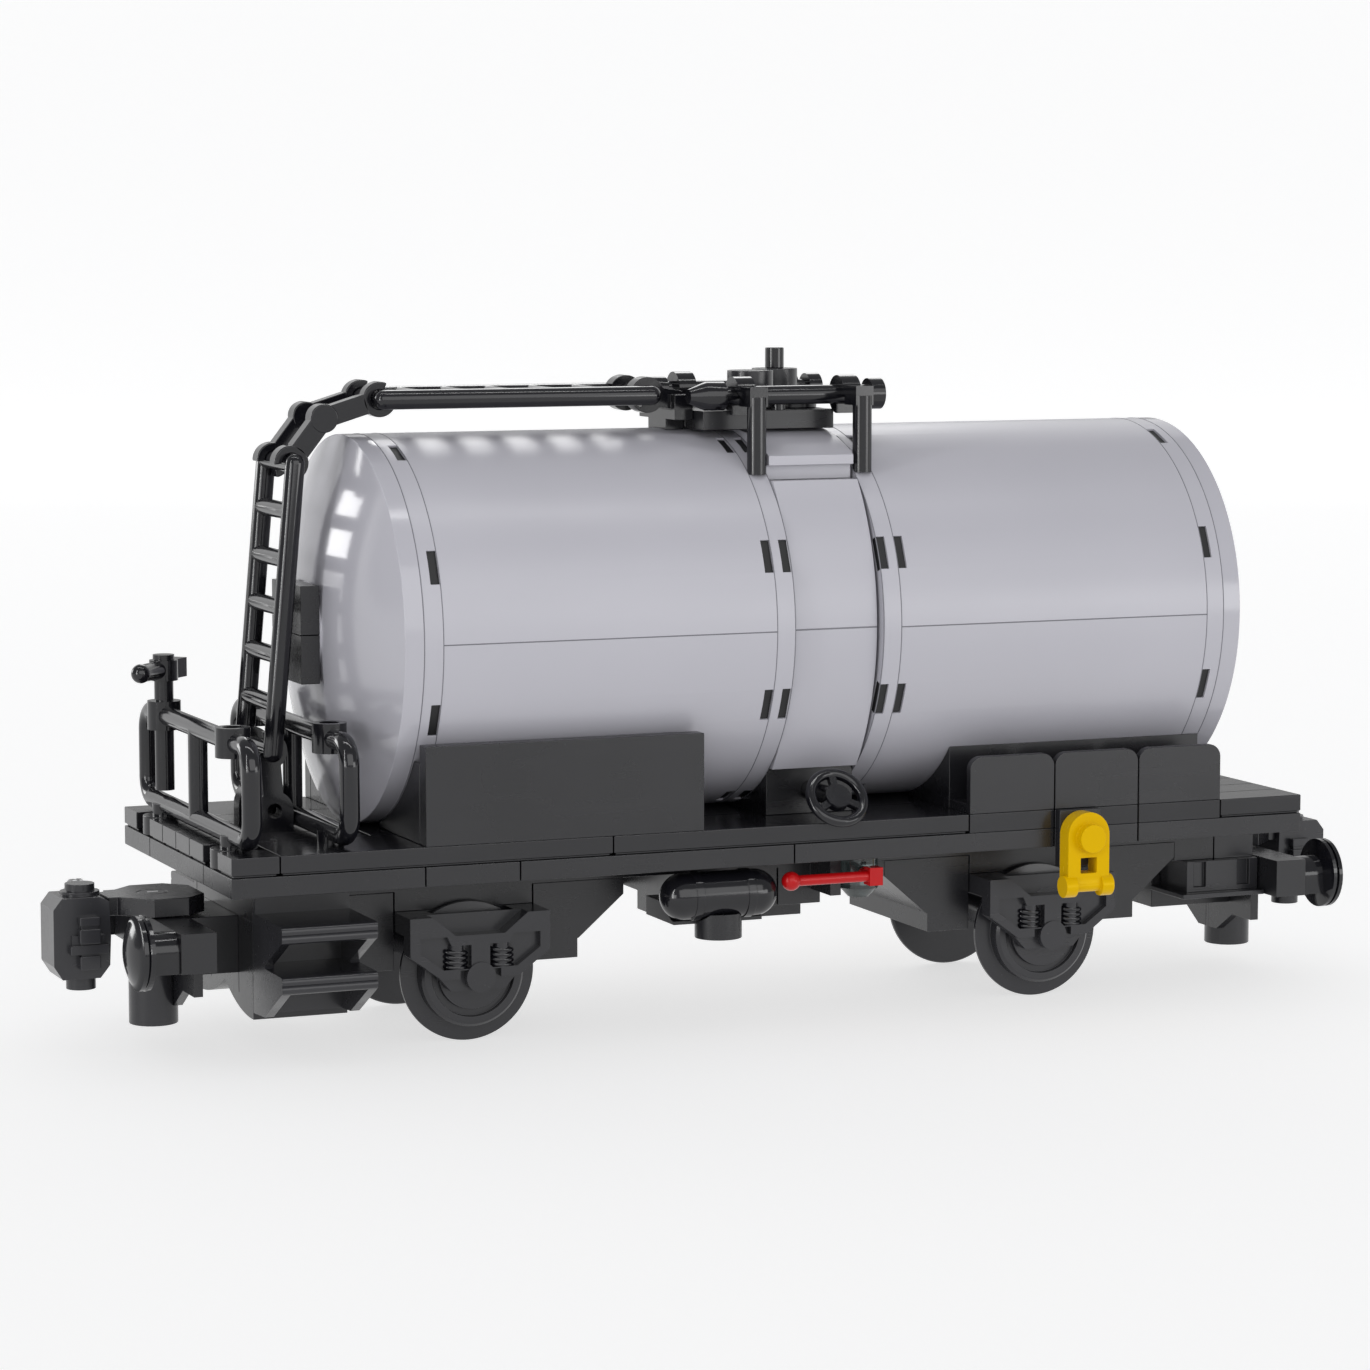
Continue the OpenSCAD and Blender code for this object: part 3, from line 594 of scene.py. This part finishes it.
def coil_tree(finish: Finish) -> RepeatTree:
    """Build the tree of four coil springs round one axle.

    Args:
        finish: what the springs are made of.

    Returns:
        The tree, with its centre, spacings, coil and wire sizes as inputs.
    """
    made = RepeatTree("coil_springs", finish)
    centre = made.size("Centre", "NodeSocketVector")
    apart_x = made.size("Apart along")
    apart_y = made.size("Apart across")
    radius = made.size("Coil radius")
    wire = made.size("Wire radius")
    height = made.size("Height")
    turns = made.size("Turns")
    flatten = made.size("Flatten", "NodeSocketVector")
    helix = made.node("GeometryNodeCurveSpiral", {
        "Resolution": 28, "Rotations": turns, "Start Radius": radius, "End Radius": radius,
        "Height": height})
    section = made.node("GeometryNodeCurvePrimitiveCircle", {"Resolution": 10, "Radius": wire})
    coil = made.node("GeometryNodeCurveToMesh", {
        "Curve": helix.outputs["Curve"], "Profile Curve": section.outputs["Curve"],
        "Fill Caps": True})
    shaped = made.node("GeometryNodeTransform", {
        "Geometry": coil.outputs["Mesh"], "Scale": flatten})
    grid = made.node("GeometryNodeMeshGrid", {
        "Size X": apart_x, "Size Y": apart_y, "Vertices X": 2, "Vertices Y": 2})
    placed = made.node("GeometryNodeTransform", {
        "Geometry": grid.outputs["Mesh"], "Translation": centre})
    copies = made.node("GeometryNodeInstanceOnPoints", {
        "Points": placed.outputs["Geometry"], "Instance": shaped.outputs["Geometry"]})
    made.close(copies.outputs["Instances"])
    return made


def notch_tree(finish: Finish) -> RepeatTree:
    """Build the tree of black tongues that fill one round of tank notches.

    Args:
        finish: what the tongues are made of.

    Returns:
        The tree, with its centre, radius, tongue size, count and first angle as inputs.
    """
    made = RepeatTree("notch_tongues", finish)
    centre = made.size("Centre", "NodeSocketVector")
    radius = made.size("Radius")
    tongue = made.size("Tongue", "NodeSocketVector")
    count = made.size("Count", "NodeSocketInt")
    turn = made.size("Turn", "NodeSocketVector")
    stand = (0.0, math.pi / 2, 0.0)
    block = made.node("GeometryNodeMeshCube", {"Size": tongue})
    circle = made.node("GeometryNodeMeshCircle", {"Vertices": count, "Radius": radius})
    turned = made.node("GeometryNodeTransform", {
        "Geometry": circle.outputs["Mesh"], "Rotation": turn})
    upright = made.node("GeometryNodeTransform", {
        "Geometry": turned.outputs["Geometry"], "Rotation": stand})
    place = made.graph.add("GeometryNodeInputPosition")
    outward = made.node("FunctionNodeAlignRotationToVector", {"Vector": place.outputs["Position"]},
                        axis="Z", pivot_axis="X")
    copies = made.node("GeometryNodeInstanceOnPoints", {
        "Points": upright.outputs["Geometry"], "Instance": block.outputs["Mesh"],
        "Rotation": outward.outputs["Rotation"]})
    real = made.node("GeometryNodeRealizeInstances", {"Geometry": copies.outputs["Instances"]})
    moved = made.node("GeometryNodeTransform", {
        "Geometry": real.outputs["Geometry"], "Translation": centre})
    made.close(moved.outputs["Geometry"])
    return made


def seam_tree(finish: Finish) -> RepeatTree:
    """Build the tree of hairline rings of painted shade where round sections of the tank meet.

    Args:
        finish: what the lines are made of.

    Returns:
        The tree, with its centre, spacing, count, radius and line radius as inputs.
    """
    made = RepeatTree("seam_rings", finish)
    centre = made.size("Centre", "NodeSocketVector")
    step = made.size("Step", "NodeSocketVector")
    count = made.size("Count", "NodeSocketInt")
    radius = made.size("Radius")
    line = made.size("Line radius")
    hoop = made.node("GeometryNodeCurvePrimitiveCircle", {"Resolution": 160, "Radius": radius})
    section = made.node("GeometryNodeCurvePrimitiveCircle", {"Resolution": 6, "Radius": line})
    ring = made.node("GeometryNodeCurveToMesh", {
        "Curve": hoop.outputs["Curve"], "Profile Curve": section.outputs["Curve"]})
    turned = made.node("GeometryNodeTransform", {
        "Geometry": ring.outputs["Mesh"], "Rotation": (0.0, math.pi / 2, 0.0)})
    row = made.node("GeometryNodeMeshLine", {
        "Count": count, "Start Location": centre, "Offset": step})
    copies = made.node("GeometryNodeInstanceOnPoints", {
        "Points": row.outputs["Mesh"], "Instance": turned.outputs["Geometry"]})
    made.close(copies.outputs["Instances"])
    return made


# ---------------------------------------------------------------- studio
@dataclass
class SoftBox:
    """One soft area light."""

    name: str
    place: Point
    target: Point
    size: tuple[float, float]
    watts: float

    def build(self) -> bpy.types.Object:
        """Add the light, aimed at its target and hidden from the camera, and return it."""
        light = bpy.data.lights.new(self.name, "AREA")
        light.shape = "RECTANGLE"
        light.size, light.size_y = self.size
        light.energy = self.watts
        lamp = bpy.data.objects.new(self.name, light)
        lamp.location = self.place
        aim = Vector(self.target) - Vector(self.place)
        lamp.rotation_euler = aim.to_track_quat("-Z", "Y").to_euler()
        lamp.visible_camera = False
        bpy.context.scene.collection.objects.link(lamp)
        return lamp


@dataclass
class Studio:
    """Pale floor that sweeps up behind, a card, soft boxes, world light and the camera.

    Lengths are in metres and angles in degrees, turned from the far side towards +X.
    """

    wall_away: float = 3.0
    wall_high: float = 3.0
    apron: float = 9.0
    sweep: float = 1.2
    camera_place: Point = (-0.27769, -0.65161, 0.13310)
    camera_down: float = 6.342
    camera_turn: float = 22.615
    lens: float = 109.7
    world_light: float = 0.36
    backdrop_light: float = 0.93
    floor_glow: float = 0.66
    card_glow: float = 0.36
    card_away: float = 1.25
    card_half: float = 0.42
    card_high: float = 0.36
    floor_colour: Point = (0.60, 0.60, 0.60)
    wall_colour: Point = (0.62, 0.62, 0.62)

    def sheet(self, name: str, half: float, outline: list[tuple[float, float]]) -> bpy.types.Object:
        """Stand a sheet square to the camera.

        Args:
            name: the sheet's name.
            half: half of its width.
            outline: how far back and how high each fold of it is.

        Returns:
            The sheet, which is part of the studio only.
        """
        turn = Matrix.Rotation(math.radians(-self.camera_turn), 4, "Z")
        verts = [turn @ Vector((side * half, along, high))
                 for along, high in outline for side in (-1, 1)]
        faces = [(2 * i, 2 * i + 1, 2 * i + 3, 2 * i + 2) for i in range(len(outline) - 1)]
        mesh = bpy.data.meshes.new(name)
        mesh.from_pydata(verts, [], faces)
        mesh.shade_smooth()
        sheet = link_mesh(name, mesh)
        return sheet

    def floor(self) -> bpy.types.Collection:
        """Build the floor and its curved back wall as one sheet.

        Returns:
            The collection that keeps the soft boxes off the floor.
        """
        bends = [math.radians(degrees) for degrees in range(0, 91, 6)]
        outline = [(-self.apron, 0.0)]
        outline += [(self.wall_away - self.sweep + self.sweep * math.sin(bend),
                     self.sweep - self.sweep * math.cos(bend)) for bend in bends]
        outline.append((self.wall_away, self.wall_high))
        sheet = self.sheet("studio_floor", self.apron, outline)
        paper, graph, shader, place = start_material("pale_paper")
        height = graph.add("ShaderNodeSeparateXYZ")
        graph.link(place, height.inputs[0])
        rise = graph.spread(height.outputs["Z"], (0.0, 1.4), (0.0, 1.0))
        fibre = graph.spread(graph.noise(place, 3.0, 2.0), NOISE_SPAN, (-0.04, 0.04))
        tone = graph.math("ADD", rise, fibre)
        graph.link(graph.mix(tone, self.floor_colour, self.wall_colour),
                   shader.inputs["Base Color"])
        shader.inputs["Roughness"].default_value = 0.9
        shader.inputs["Emission Color"].default_value = WHITE
        shader.inputs["Emission Strength"].default_value = self.floor_glow
        sheet.data.materials.append(paper)
        unlit = bpy.data.collections.new("unlit_floor")
        unlit.objects.link(sheet)
        unlit.collection_objects[0].light_linking.link_state = "EXCLUDE"
        return unlit

    def grey_card(self) -> None:
        """Hang a grey card behind, seen only in level glossy reflections."""
        card = self.sheet("studio_card", self.card_half,
                          [(self.card_away, 0.0), (self.card_away, self.card_high)])
        paint, _, shader, _ = start_material("card_grey")
        shader.inputs["Base Color"].default_value = (0.02, 0.02, 0.02, 1)
        shader.inputs["Roughness"].default_value = 1.0
        shader.inputs["Emission Color"].default_value = WHITE
        shader.inputs["Emission Strength"].default_value = self.card_glow
        card.data.materials.append(paint)
        card.visible_camera = card.visible_diffuse = card.visible_shadow = False
        card.visible_transmission = False

    def world(self) -> None:
        """Set an even pale world light, with a pale backdrop beyond the floor."""
        world = bpy.data.worlds.new("pale_world")
        world.use_nodes = True
        graph = NodeGraph(world.node_tree)
        background = world.node_tree.nodes["Background"]
        background.inputs["Color"].default_value = (0.97, 0.98, 1.0, 1)
        seen = graph.add("ShaderNodeLightPath").outputs["Is Camera Ray"]
        graph.link(graph.spread(seen, (0.0, 1.0), (self.world_light, self.backdrop_light)),
                   background.inputs["Strength"])
        bpy.context.scene.world = world

    def camera(self) -> None:
        """Place the camera at the viewing angle."""
        data = bpy.data.cameras.new("view_camera")
        data.lens = self.lens
        data.sensor_width = 36.0
        data.clip_start = 0.01
        camera = bpy.data.objects.new("view_camera", data)
        camera.location = self.camera_place
        camera.rotation_euler = (math.radians(90 - self.camera_down), 0,
                                 math.radians(-self.camera_turn))
        bpy.context.scene.collection.objects.link(camera)
        bpy.context.scene.camera = camera

    def build(self) -> None:
        """Build floor, card, world, lights and camera."""
        unlit = self.floor()
        self.grey_card()
        self.world()
        for box in (
            SoftBox("top_strip", (-0.05, -0.10, 0.80), (0.0, 0.0, 0.05), (0.9, 0.04), 1.2),
            SoftBox("left_strip", (-0.90, -0.30, 0.35), (-0.1, 0.0, 0.06), (0.06, 0.8), 1.8),
            SoftBox("front_box", (-0.10, -1.20, 0.55), (0.0, 0.0, 0.05), (1.6, 0.9), 7.4),
            SoftBox("left_fill", (-1.10, -0.50, 0.12), (0.0, 0.0, 0.04), (0.5, 0.35), 1.6),
            SoftBox("right_fill", (0.75, -1.00, 0.15), (0.0, 0.0, 0.04), (0.6, 0.3), 1.8),
            SoftBox("back_window", (-0.95, 1.25, 0.36), (-0.07, 0.0, 0.08), (0.45, 0.45), 3.2),
            SoftBox("back_top", (0.42, 1.20, 0.95), (0.0, 0.0, 0.06), (0.5, 0.7), 3.4),
        ):
            box.build().light_linking.receiver_collection = unlit
        self.camera()
        bpy.context.scene.view_settings.view_transform = "Standard"
        LOG.info("studio ready")


# ---------------------------------------------------------------- sub-assemblies
@dataclass
class SubAssembly:
    """CAD nodes that keep their shape, each with its own finish."""

    finishes: dict[str, Finish] = field(default_factory=dict)
    body: Body = Body.WAGON
    bevel_mm: float = 0.16

    def dress(self) -> None:
        """Stand a softened copy in for every node."""
        for node, finish in self.finishes.items():
            moulded_copy(node, finish, self.body, self.bevel_mm)

    def details(self) -> None:
        """Build what the frame leaves out; most sub-assemblies have nothing more."""

    def build(self) -> None:
        """Dress the nodes and add the details."""
        self.dress()
        self.details()


@dataclass
class Deck(SubAssembly):
    """The deck: two layers of plates and tiles, side tiles, panels and saddle bricks."""

    finishes: dict[str, Finish] = field(default_factory=lambda: {
        "deck_lower_plates": BRICK_BLACK, "deck_upper_plates": DECK_BLACK, "deck_tiles": DECK_BLACK,
        "side_tiles": BRICK_BLACK, "side_panels": BRICK_BLACK, "saddle_bricks": BRICK_BLACK})
    bevel_mm: float = 0.14


@dataclass
class Tank(SubAssembly):
    """The round tank with its rings, dished ends, seams and notches."""

    finishes: dict[str, Finish] = field(default_factory=lambda: {
        "tank_barrel_left": TANK_GREY, "tank_barrel_right": TANK_GREY, "tank_rings": TANK_GREY,
        "tank_dome_left": DOME_GREY, "tank_dome_right": DOME_GREY,
        "middle_side_panels": TANK_GREY, "middle_top_slopes": TANK_GREY,
        "middle_bricks": BRICK_BLACK})
    bevel_mm: float = 0.12
    ring_mm: float = 3.2
    notch_mm: float = 1.6
    notch_wide_mm: float = 5.6
    tongue_under_mm: float = 0.45
    notch_count: int = 8
    seam_line_mm: float = 0.09
    seam_gap_mm: float = 0.2
    seam_under_mm: float = 0.10
    seam_deep_mm: float = 0.6
    tongue_play_mm: float = 0.06
    radius: float = field(default=0.0, init=False)
    axis: tuple[float, float] = field(default=(0.0, 0.0), init=False)

    def details(self) -> None:
        """Add the notch tongues, and the hairline rings and seam strips that paint shade in the
        joints.
        """
        low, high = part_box("tank_barrel_left")
        self.radius = (high[2] - low[2]) / 2
        self.axis = ((low[1] + high[1]) / 2, (low[2] + high[2]) / 2)
        self.notch_tongues()
        self.hairline_rings()
        self.seam_strips()

    def notch_tongues(self) -> None:
        """Fill the notches at the six ring edges with black tongues."""
        left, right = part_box("tank_barrel_left"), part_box("tank_barrel_right")
        deep = (self.notch_mm - self.tongue_under_mm) * MM
        half, ring = self.notch_mm * MM / 2, self.ring_mm * MM
        centres = (left[0][0] - half, left[1][0] - half, left[1][0] + ring - half,
                   right[0][0] - ring + half, right[0][0] + half, right[1][0] + half)
        tongue = ((self.notch_mm - self.tongue_play_mm) * MM,
                  (self.notch_wide_mm - self.tongue_play_mm) * MM, deep)
        sizes = {"Radius": self.radius - self.tongue_under_mm * MM - deep / 2, "Tongue": tongue,
                 "Count": self.notch_count, "Turn": (0.0, 0.0, math.pi / self.notch_count)}
        places = [{"Centre": (x, *self.axis), **sizes} for x in centres]
        piece = notch_tree(CORE_BLACK).piece("notch_tongues", places)
        soften_edges(piece, 0.08)

    def hairline_rings(self) -> None:
        """Add fine dark lines of painted shade where barrels, rings and dished ends meet."""
        left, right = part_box("tank_barrel_left"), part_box("tank_barrel_right")
        ring = self.ring_mm * MM
        sizes = {"Step": (ring, 0.0, 0.0), "Count": 2, "Line radius": self.seam_line_mm * MM,
                 "Radius": self.radius - 0.35 * self.seam_line_mm * MM}
        places = [{"Centre": (x, *self.axis), **sizes}
                  for x in (left[0][0] - ring, left[1][0], right[0][0] - ring, right[1][0])]
        seam_tree(JOINT_PAINTED_SHADE).piece("tank_seam_rings_painted_shade", places)

    def seam_strips(self) -> None:
        """Lay a dark grey strip of painted shade in each lengthwise gap, just under the surface."""
        work = bmesh.new()
        out = self.radius - self.seam_under_mm * MM
        half = self.seam_gap_mm * MM / 2
        inner = out - self.notch_mm * MM
        for barrel, level, quarters in (("tank_barrel_left", out, range(4)),
                                        ("tank_barrel_right", out, range(4)),
                                        ("middle_side_panels", inner, (1, 3))):
            low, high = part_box(barrel)
            for quarter in quarters:
                turn = Matrix.Rotation(quarter * math.pi / 2, 4, "X")
                place = Matrix.Translation((0, *self.axis)) @ turn
                corners = [work.verts.new(place @ Vector((x, y, z))) for x in (low[0], high[0])
                           for y in (-half, half) for z in (level - self.seam_deep_mm * MM, level)]
                bmesh.ops.convex_hull(work, input=corners)
        finish_solid("tank_seam_strips_painted_shade", work, JOINT_PAINTED_SHADE, bevel_mm=0)


@dataclass
class ValveGear(SubAssembly):
    """The valve bars, their handwheels and the hatch on top."""

    finishes: dict[str, Finish] = field(default_factory=lambda: {
        "valve_bars": TUBE_BLACK, "valve_handwheels": TUBE_BLACK, "hatch_base": BRICK_BLACK,
        "hatch_domes": BLACK_PAINTED_LIGHTER, "hatch_pin": TUBE_BLACK, "hatch_rails": TUBE_BLACK,
        "rail_claws": TUBE_BLACK})
    bevel_mm: float = 0.14


@dataclass
class Ladders(SubAssembly):
    """The leaning end ladder, the ladder on top and what holds them."""

    finishes: dict[str, Finish] = field(default_factory=lambda: {
        "top_ladder": TUBE_BLACK, "end_ladder": TUBE_BLACK,
        "ladder_rest": TUBE_BLACK, "ladder_foot": TUBE_BLACK, "dome_bracket": BRICK_BLACK})
    bevel_mm: float = 0.12
    bar_mm: float = 1.6
    link_across_mm: float = 4.8
    link_deep_mm: float = 2.9
    claw_mm: tuple[float, float] = (1.55, 2.9)
    arm_mm: float = 3.3
    knuckle_mm: float = 2.35
    knuckle_share: float = 0.37
    knuckle_up_mm: float = 3.4
    lap_mm: float = 0.3
    claw_degrees: float = 132.0

    def details(self) -> None:
        """Build the two claw links that join the ladders."""
        end_low, end_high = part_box("end_ladder")
        top_low, top_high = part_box("top_ladder")
        bar = self.bar_mm * MM
        middle = (top_low[1] + top_high[1]) / 2
        work = bmesh.new()
        deep, lap = self.link_deep_mm * MM, self.lap_mm * MM
        radius = self.knuckle_mm * MM
        for side in (-1, 1):
            y = middle + side * self.link_across_mm * MM
            low_bar = Vector((end_high[0] - bar, y, end_high[2] - bar))
            top_bar = Vector((top_low[0] + bar, y, (top_low[2] + top_high[2]) / 2))
            knuckle = low_bar.lerp(top_bar, self.knuckle_share)
            knuckle.z += self.knuckle_up_mm * MM
            self.claw_arm(work, low_bar, knuckle, deep)
            self.claw_arm(work, top_bar, knuckle, deep - lap)
            edge = (deep + lap) / 2
            add_lathe(work, [(-edge, radius), (edge, radius)], knuckle, ACROSS, 32)
        piece = finish_solid("ladder_claw_links", work, TUBE_BLACK, bevel_mm=0.22)
        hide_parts("ladder_links")

    def claw_arm(self, work: bmesh.types.BMesh, bar: Vector, knuckle: Vector, deep: float) -> None:
        """Add one claw round a bar and its arm to the knuckle.

        Args:
            work: the mesh that gets them.
            bar: the middle of the bar that is gripped.
            knuckle: the middle of the knuckle.
            deep: size across the arm's flat.
        """
        inner, outer = (r * MM for r in self.claw_mm)
        along = (knuckle - bar).normalized()
        back = math.degrees(math.atan2(along.z, along.x))
        add_arc_ring(work, bar, (inner, outer), deep,
                     (back - self.claw_degrees, back + self.claw_degrees))
        add_block(work, bar + along * (inner + outer) / 2, knuckle, deep, self.arm_mm * MM)


@dataclass
class BrakePlatform(SubAssembly):
    """The two tube fences and the brake crank."""

    finishes: dict[str, Finish] = field(default_factory=lambda: {
        "platform_fence_outer": TUBE_BLACK, "platform_fence_inner": TUBE_BLACK,
        "brake_crank": TUBE_BLACK})
    bevel_mm: float = 0.12


@dataclass
class Underframe(SubAssembly):
    """Plates, walls, steps, boxes and fittings under the deck."""

    finishes: dict[str, Finish] = field(default_factory=lambda: {
        "underframe_plates": BRICK_BLACK, "axle_walls": BRICK_BLACK, "coupler_stacks": BRICK_BLACK,
        "step_crosspiece": BRICK_BLACK, "double_steps": BLACK_PAINTED_LIGHTER, "end_boxes": BLACK_PAINTED_LIGHTER,
        "air_reservoirs": TUBE_BLACK, "reservoir_feet": BRICK_BLACK,
        "brake_rods_red": ROD_RED, "rod_holders_clear": HOLDER_SMOKE,
        "changeover_levers_yellow": LEVER_YELLOW, "lever_backs": BRICK_BLACK})
    bevel_mm: float = 0.12


@dataclass
class AxleGuards(SubAssembly):
    """The axle holders with their guards and coil springs."""

    finishes: dict[str, Finish] = field(default_factory=lambda: {
        "axle_holder_left": BLACK_PAINTED_LIGHTER, "axle_holder_right": BLACK_PAINTED_LIGHTER})
    bevel_mm: float = 0.10
    spring_apart_mm: float = 7.9
    spring_in_mm: float = 1.6
    spring_low_mm: float = 9.1
    coil_mm: float = 1.75
    wire_mm: float = 0.40
    spring_high_mm: float = 3.3
    turns: float = 4.0
    flat: float = 0.62

    def details(self) -> None:
        """Add two coil springs on each guard."""
        places = []
        for node in ("axle_holder_left", "axle_holder_right"):
            low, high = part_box(node)
            across = (high[1] - low[1]) - 2 * self.spring_in_mm * MM
            places.append({
                "Centre": ((low[0] + high[0]) / 2, (low[1] + high[1]) / 2,
                           high[2] - self.spring_low_mm * MM + self.wire_mm * MM),
                "Apart along": self.spring_apart_mm * MM, "Apart across": across,
                "Coil radius": self.coil_mm * MM, "Wire radius": self.wire_mm * MM,
                "Height": self.spring_high_mm * MM, "Turns": self.turns,
                "Flatten": (1.0, self.flat, 1.0)})
        coil_tree(TUBE_BLACK).piece("guard_coil_springs", places)


@dataclass
class Ends(SubAssembly):
    """Buffer beams, buffers and coupler pins at both ends."""

    finishes: dict[str, Finish] = field(default_factory=lambda: {
        "buffer_beams": BRICK_BLACK, "buffers": TUBE_BLACK, "coupler_pins": BLACK_PAINTED_LIGHTER})
    disc_mm: float = 6.0
    disc_rim_mm: float = 0.6
    disc_bulge_mm: float = 2.9
    disc_back_share: float = 0.55
    disc_tip_mm: float = 0.05
    steps: int = 14

    def details(self) -> None:
        """Add the domed discs in front of the four buffer shanks."""
        low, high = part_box("buffers")
        height = (low[2] + high[2]) / 2
        across = (high[1] - low[1]) / 2 - self.disc_mm * MM
        work = bmesh.new()
        ball = (self.disc_mm ** 2 + self.disc_bulge_mm ** 2) / (2 * self.disc_bulge_mm)
        profile = [(-self.disc_rim_mm * MM, self.disc_mm * self.disc_back_share * MM),
                   (0.0, self.disc_mm * MM)]
        for i in range(self.steps + 1):
            radius = self.disc_mm * (1 - i / self.steps) + self.disc_tip_mm
            rise = math.sqrt(ball ** 2 - radius ** 2) - (ball - self.disc_bulge_mm)
            profile.append(((self.disc_rim_mm + max(rise, 0.0)) * MM, radius * MM))
        reach = (self.disc_rim_mm + self.disc_bulge_mm) * MM
        for x, way in ((low[0], -1), (high[0], 1)):
            for side in (-1, 1):
                centre = Vector((x - way * reach, side * across, height))
                add_lathe(work, profile, centre, Vector((way, 0, 0)))
        finish_solid("buffer_discs", work, TUBE_BLACK, bevel_mm=0)


@dataclass
class Wheelset(SubAssembly):
    """One axle with its two flanged wheels."""

    @classmethod
    def at(cls, side: str, body: Body) -> "Wheelset":
        """Make the wheelset of one side, left or right."""
        return cls({f"wheels_{side}": BLACK_PAINTED_LIGHTER, f"axle_{side}": BLACK_PAINTED_LIGHTER}, body, 0.10)


@dataclass(frozen=True)
class Latch:
    """One raised step of a coupler head's side latch, in millimetres from the head's middle."""

    wide: float
    top: float
    foot: float
    out: float


@dataclass
class Coupler(SubAssembly):
    """One swinging coupler arm with its head, latches and a painted highlight on its pin."""

    side: str = "left"
    head_bevel_mm: float = 0.45
    head_in_mm: float = 5.6
    head_down_mm: float = 9.4
    head_half_mm: float = 4.3
    sunk_mm: float = 0.2
    pin_out_mm: float = 4.0
    slot_mm: Point = (1.7, 0.5, 0.12)
    latches: tuple[Latch, ...] = (Latch(3.4, 3.6, 2.2, 1.5), Latch(3.5, 1.7, -0.7, 1.7),
                                  Latch(6.4, -0.9, -2.4, 1.45), Latch(3.4, -2.7, -4.9, 1.6))

    @classmethod
    def at(cls, side: str, body: Body) -> "Coupler":
        """Make the coupler of one side, left or right."""
        return cls({f"coupler_arm_{side}": BRICK_BLACK}, body, 0.14, side)

    def details(self) -> None:
        """Dress the head and add its latches and the painted highlight in the pin's slot."""
        moulded_copy(self.head, BLACK_PAINTED_LIGHTER, self.body, self.head_bevel_mm)
        self.side_latches()
        self.pin_painted_highlight()

    @property
    def head(self) -> str:
        """Name of the head's node."""
        return f"coupler_head_{self.side}"

    @property
    def way(self) -> int:
        """Direction of this end along X."""
        return -1 if self.side == "left" else 1

    def side_latches(self) -> None:
        """Add the stepped latch on both sides of the head."""
        low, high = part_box(self.head)
        tip = low[0] if self.way < 0 else high[0]
        x = tip - self.way * self.head_in_mm * MM
        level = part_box("deck_lower_plates")[0][2] - self.head_down_mm * MM
        work = bmesh.new()
        for face in (-1, 1):
            for step in self.latches:
                y = face * (self.head_half_mm + step.out / 2 - self.sunk_mm) * MM
                top, foot = (Vector((x, y, level + edge * MM)) for edge in (step.top, step.foot))
                add_block(work, top, foot, (step.out + 2 * self.sunk_mm) * MM, step.wide * MM)
        finish_solid(f"coupler_latches_{self.side}", work, BLACK_PAINTED_LIGHTER, self.body, 0.2)

    def pin_painted_highlight(self) -> None:
        """Add the pale block that paints the highlight in the slot on top of the coupler's pin,
        which stays with the wagon.
        """
        deck_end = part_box("deck_lower_plates")[1][0]
        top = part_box("coupler_pins")[1][2]
        spot = Vector((self.way * (deck_end + self.pin_out_mm * MM), 0.0, top))
        long, wide, thick = (size * MM for size in self.slot_mm)
        work = bmesh.new()
        add_block(work, spot - Vector((long / 2, 0, 0)), spot + Vector((long / 2, 0, 0)),
                  wide, thick)
        finish_solid(f"coupler_pin_mark_{self.side}", work, SLOT_PAINTED_HIGHLIGHT, bevel_mm=0)


def main() -> None:
    """Build the studio and every sub-assembly."""
    logging.basicConfig(level=logging.INFO, format="%(name)s: %(message)s")
    Studio().build()
    for part in (Deck(), Tank(), ValveGear(), Ladders(), BrakePlatform(), Underframe(),
                 AxleGuards(), Ends(), Wheelset.at("left", Body.WHEELS_LEFT),
                 Wheelset.at("right", Body.WHEELS_RIGHT), Coupler.at("left", Body.COUPLER_LEFT),
                 Coupler.at("right", Body.COUPLER_RIGHT)):
        part.build()


if __name__ == "__main__":
    main()
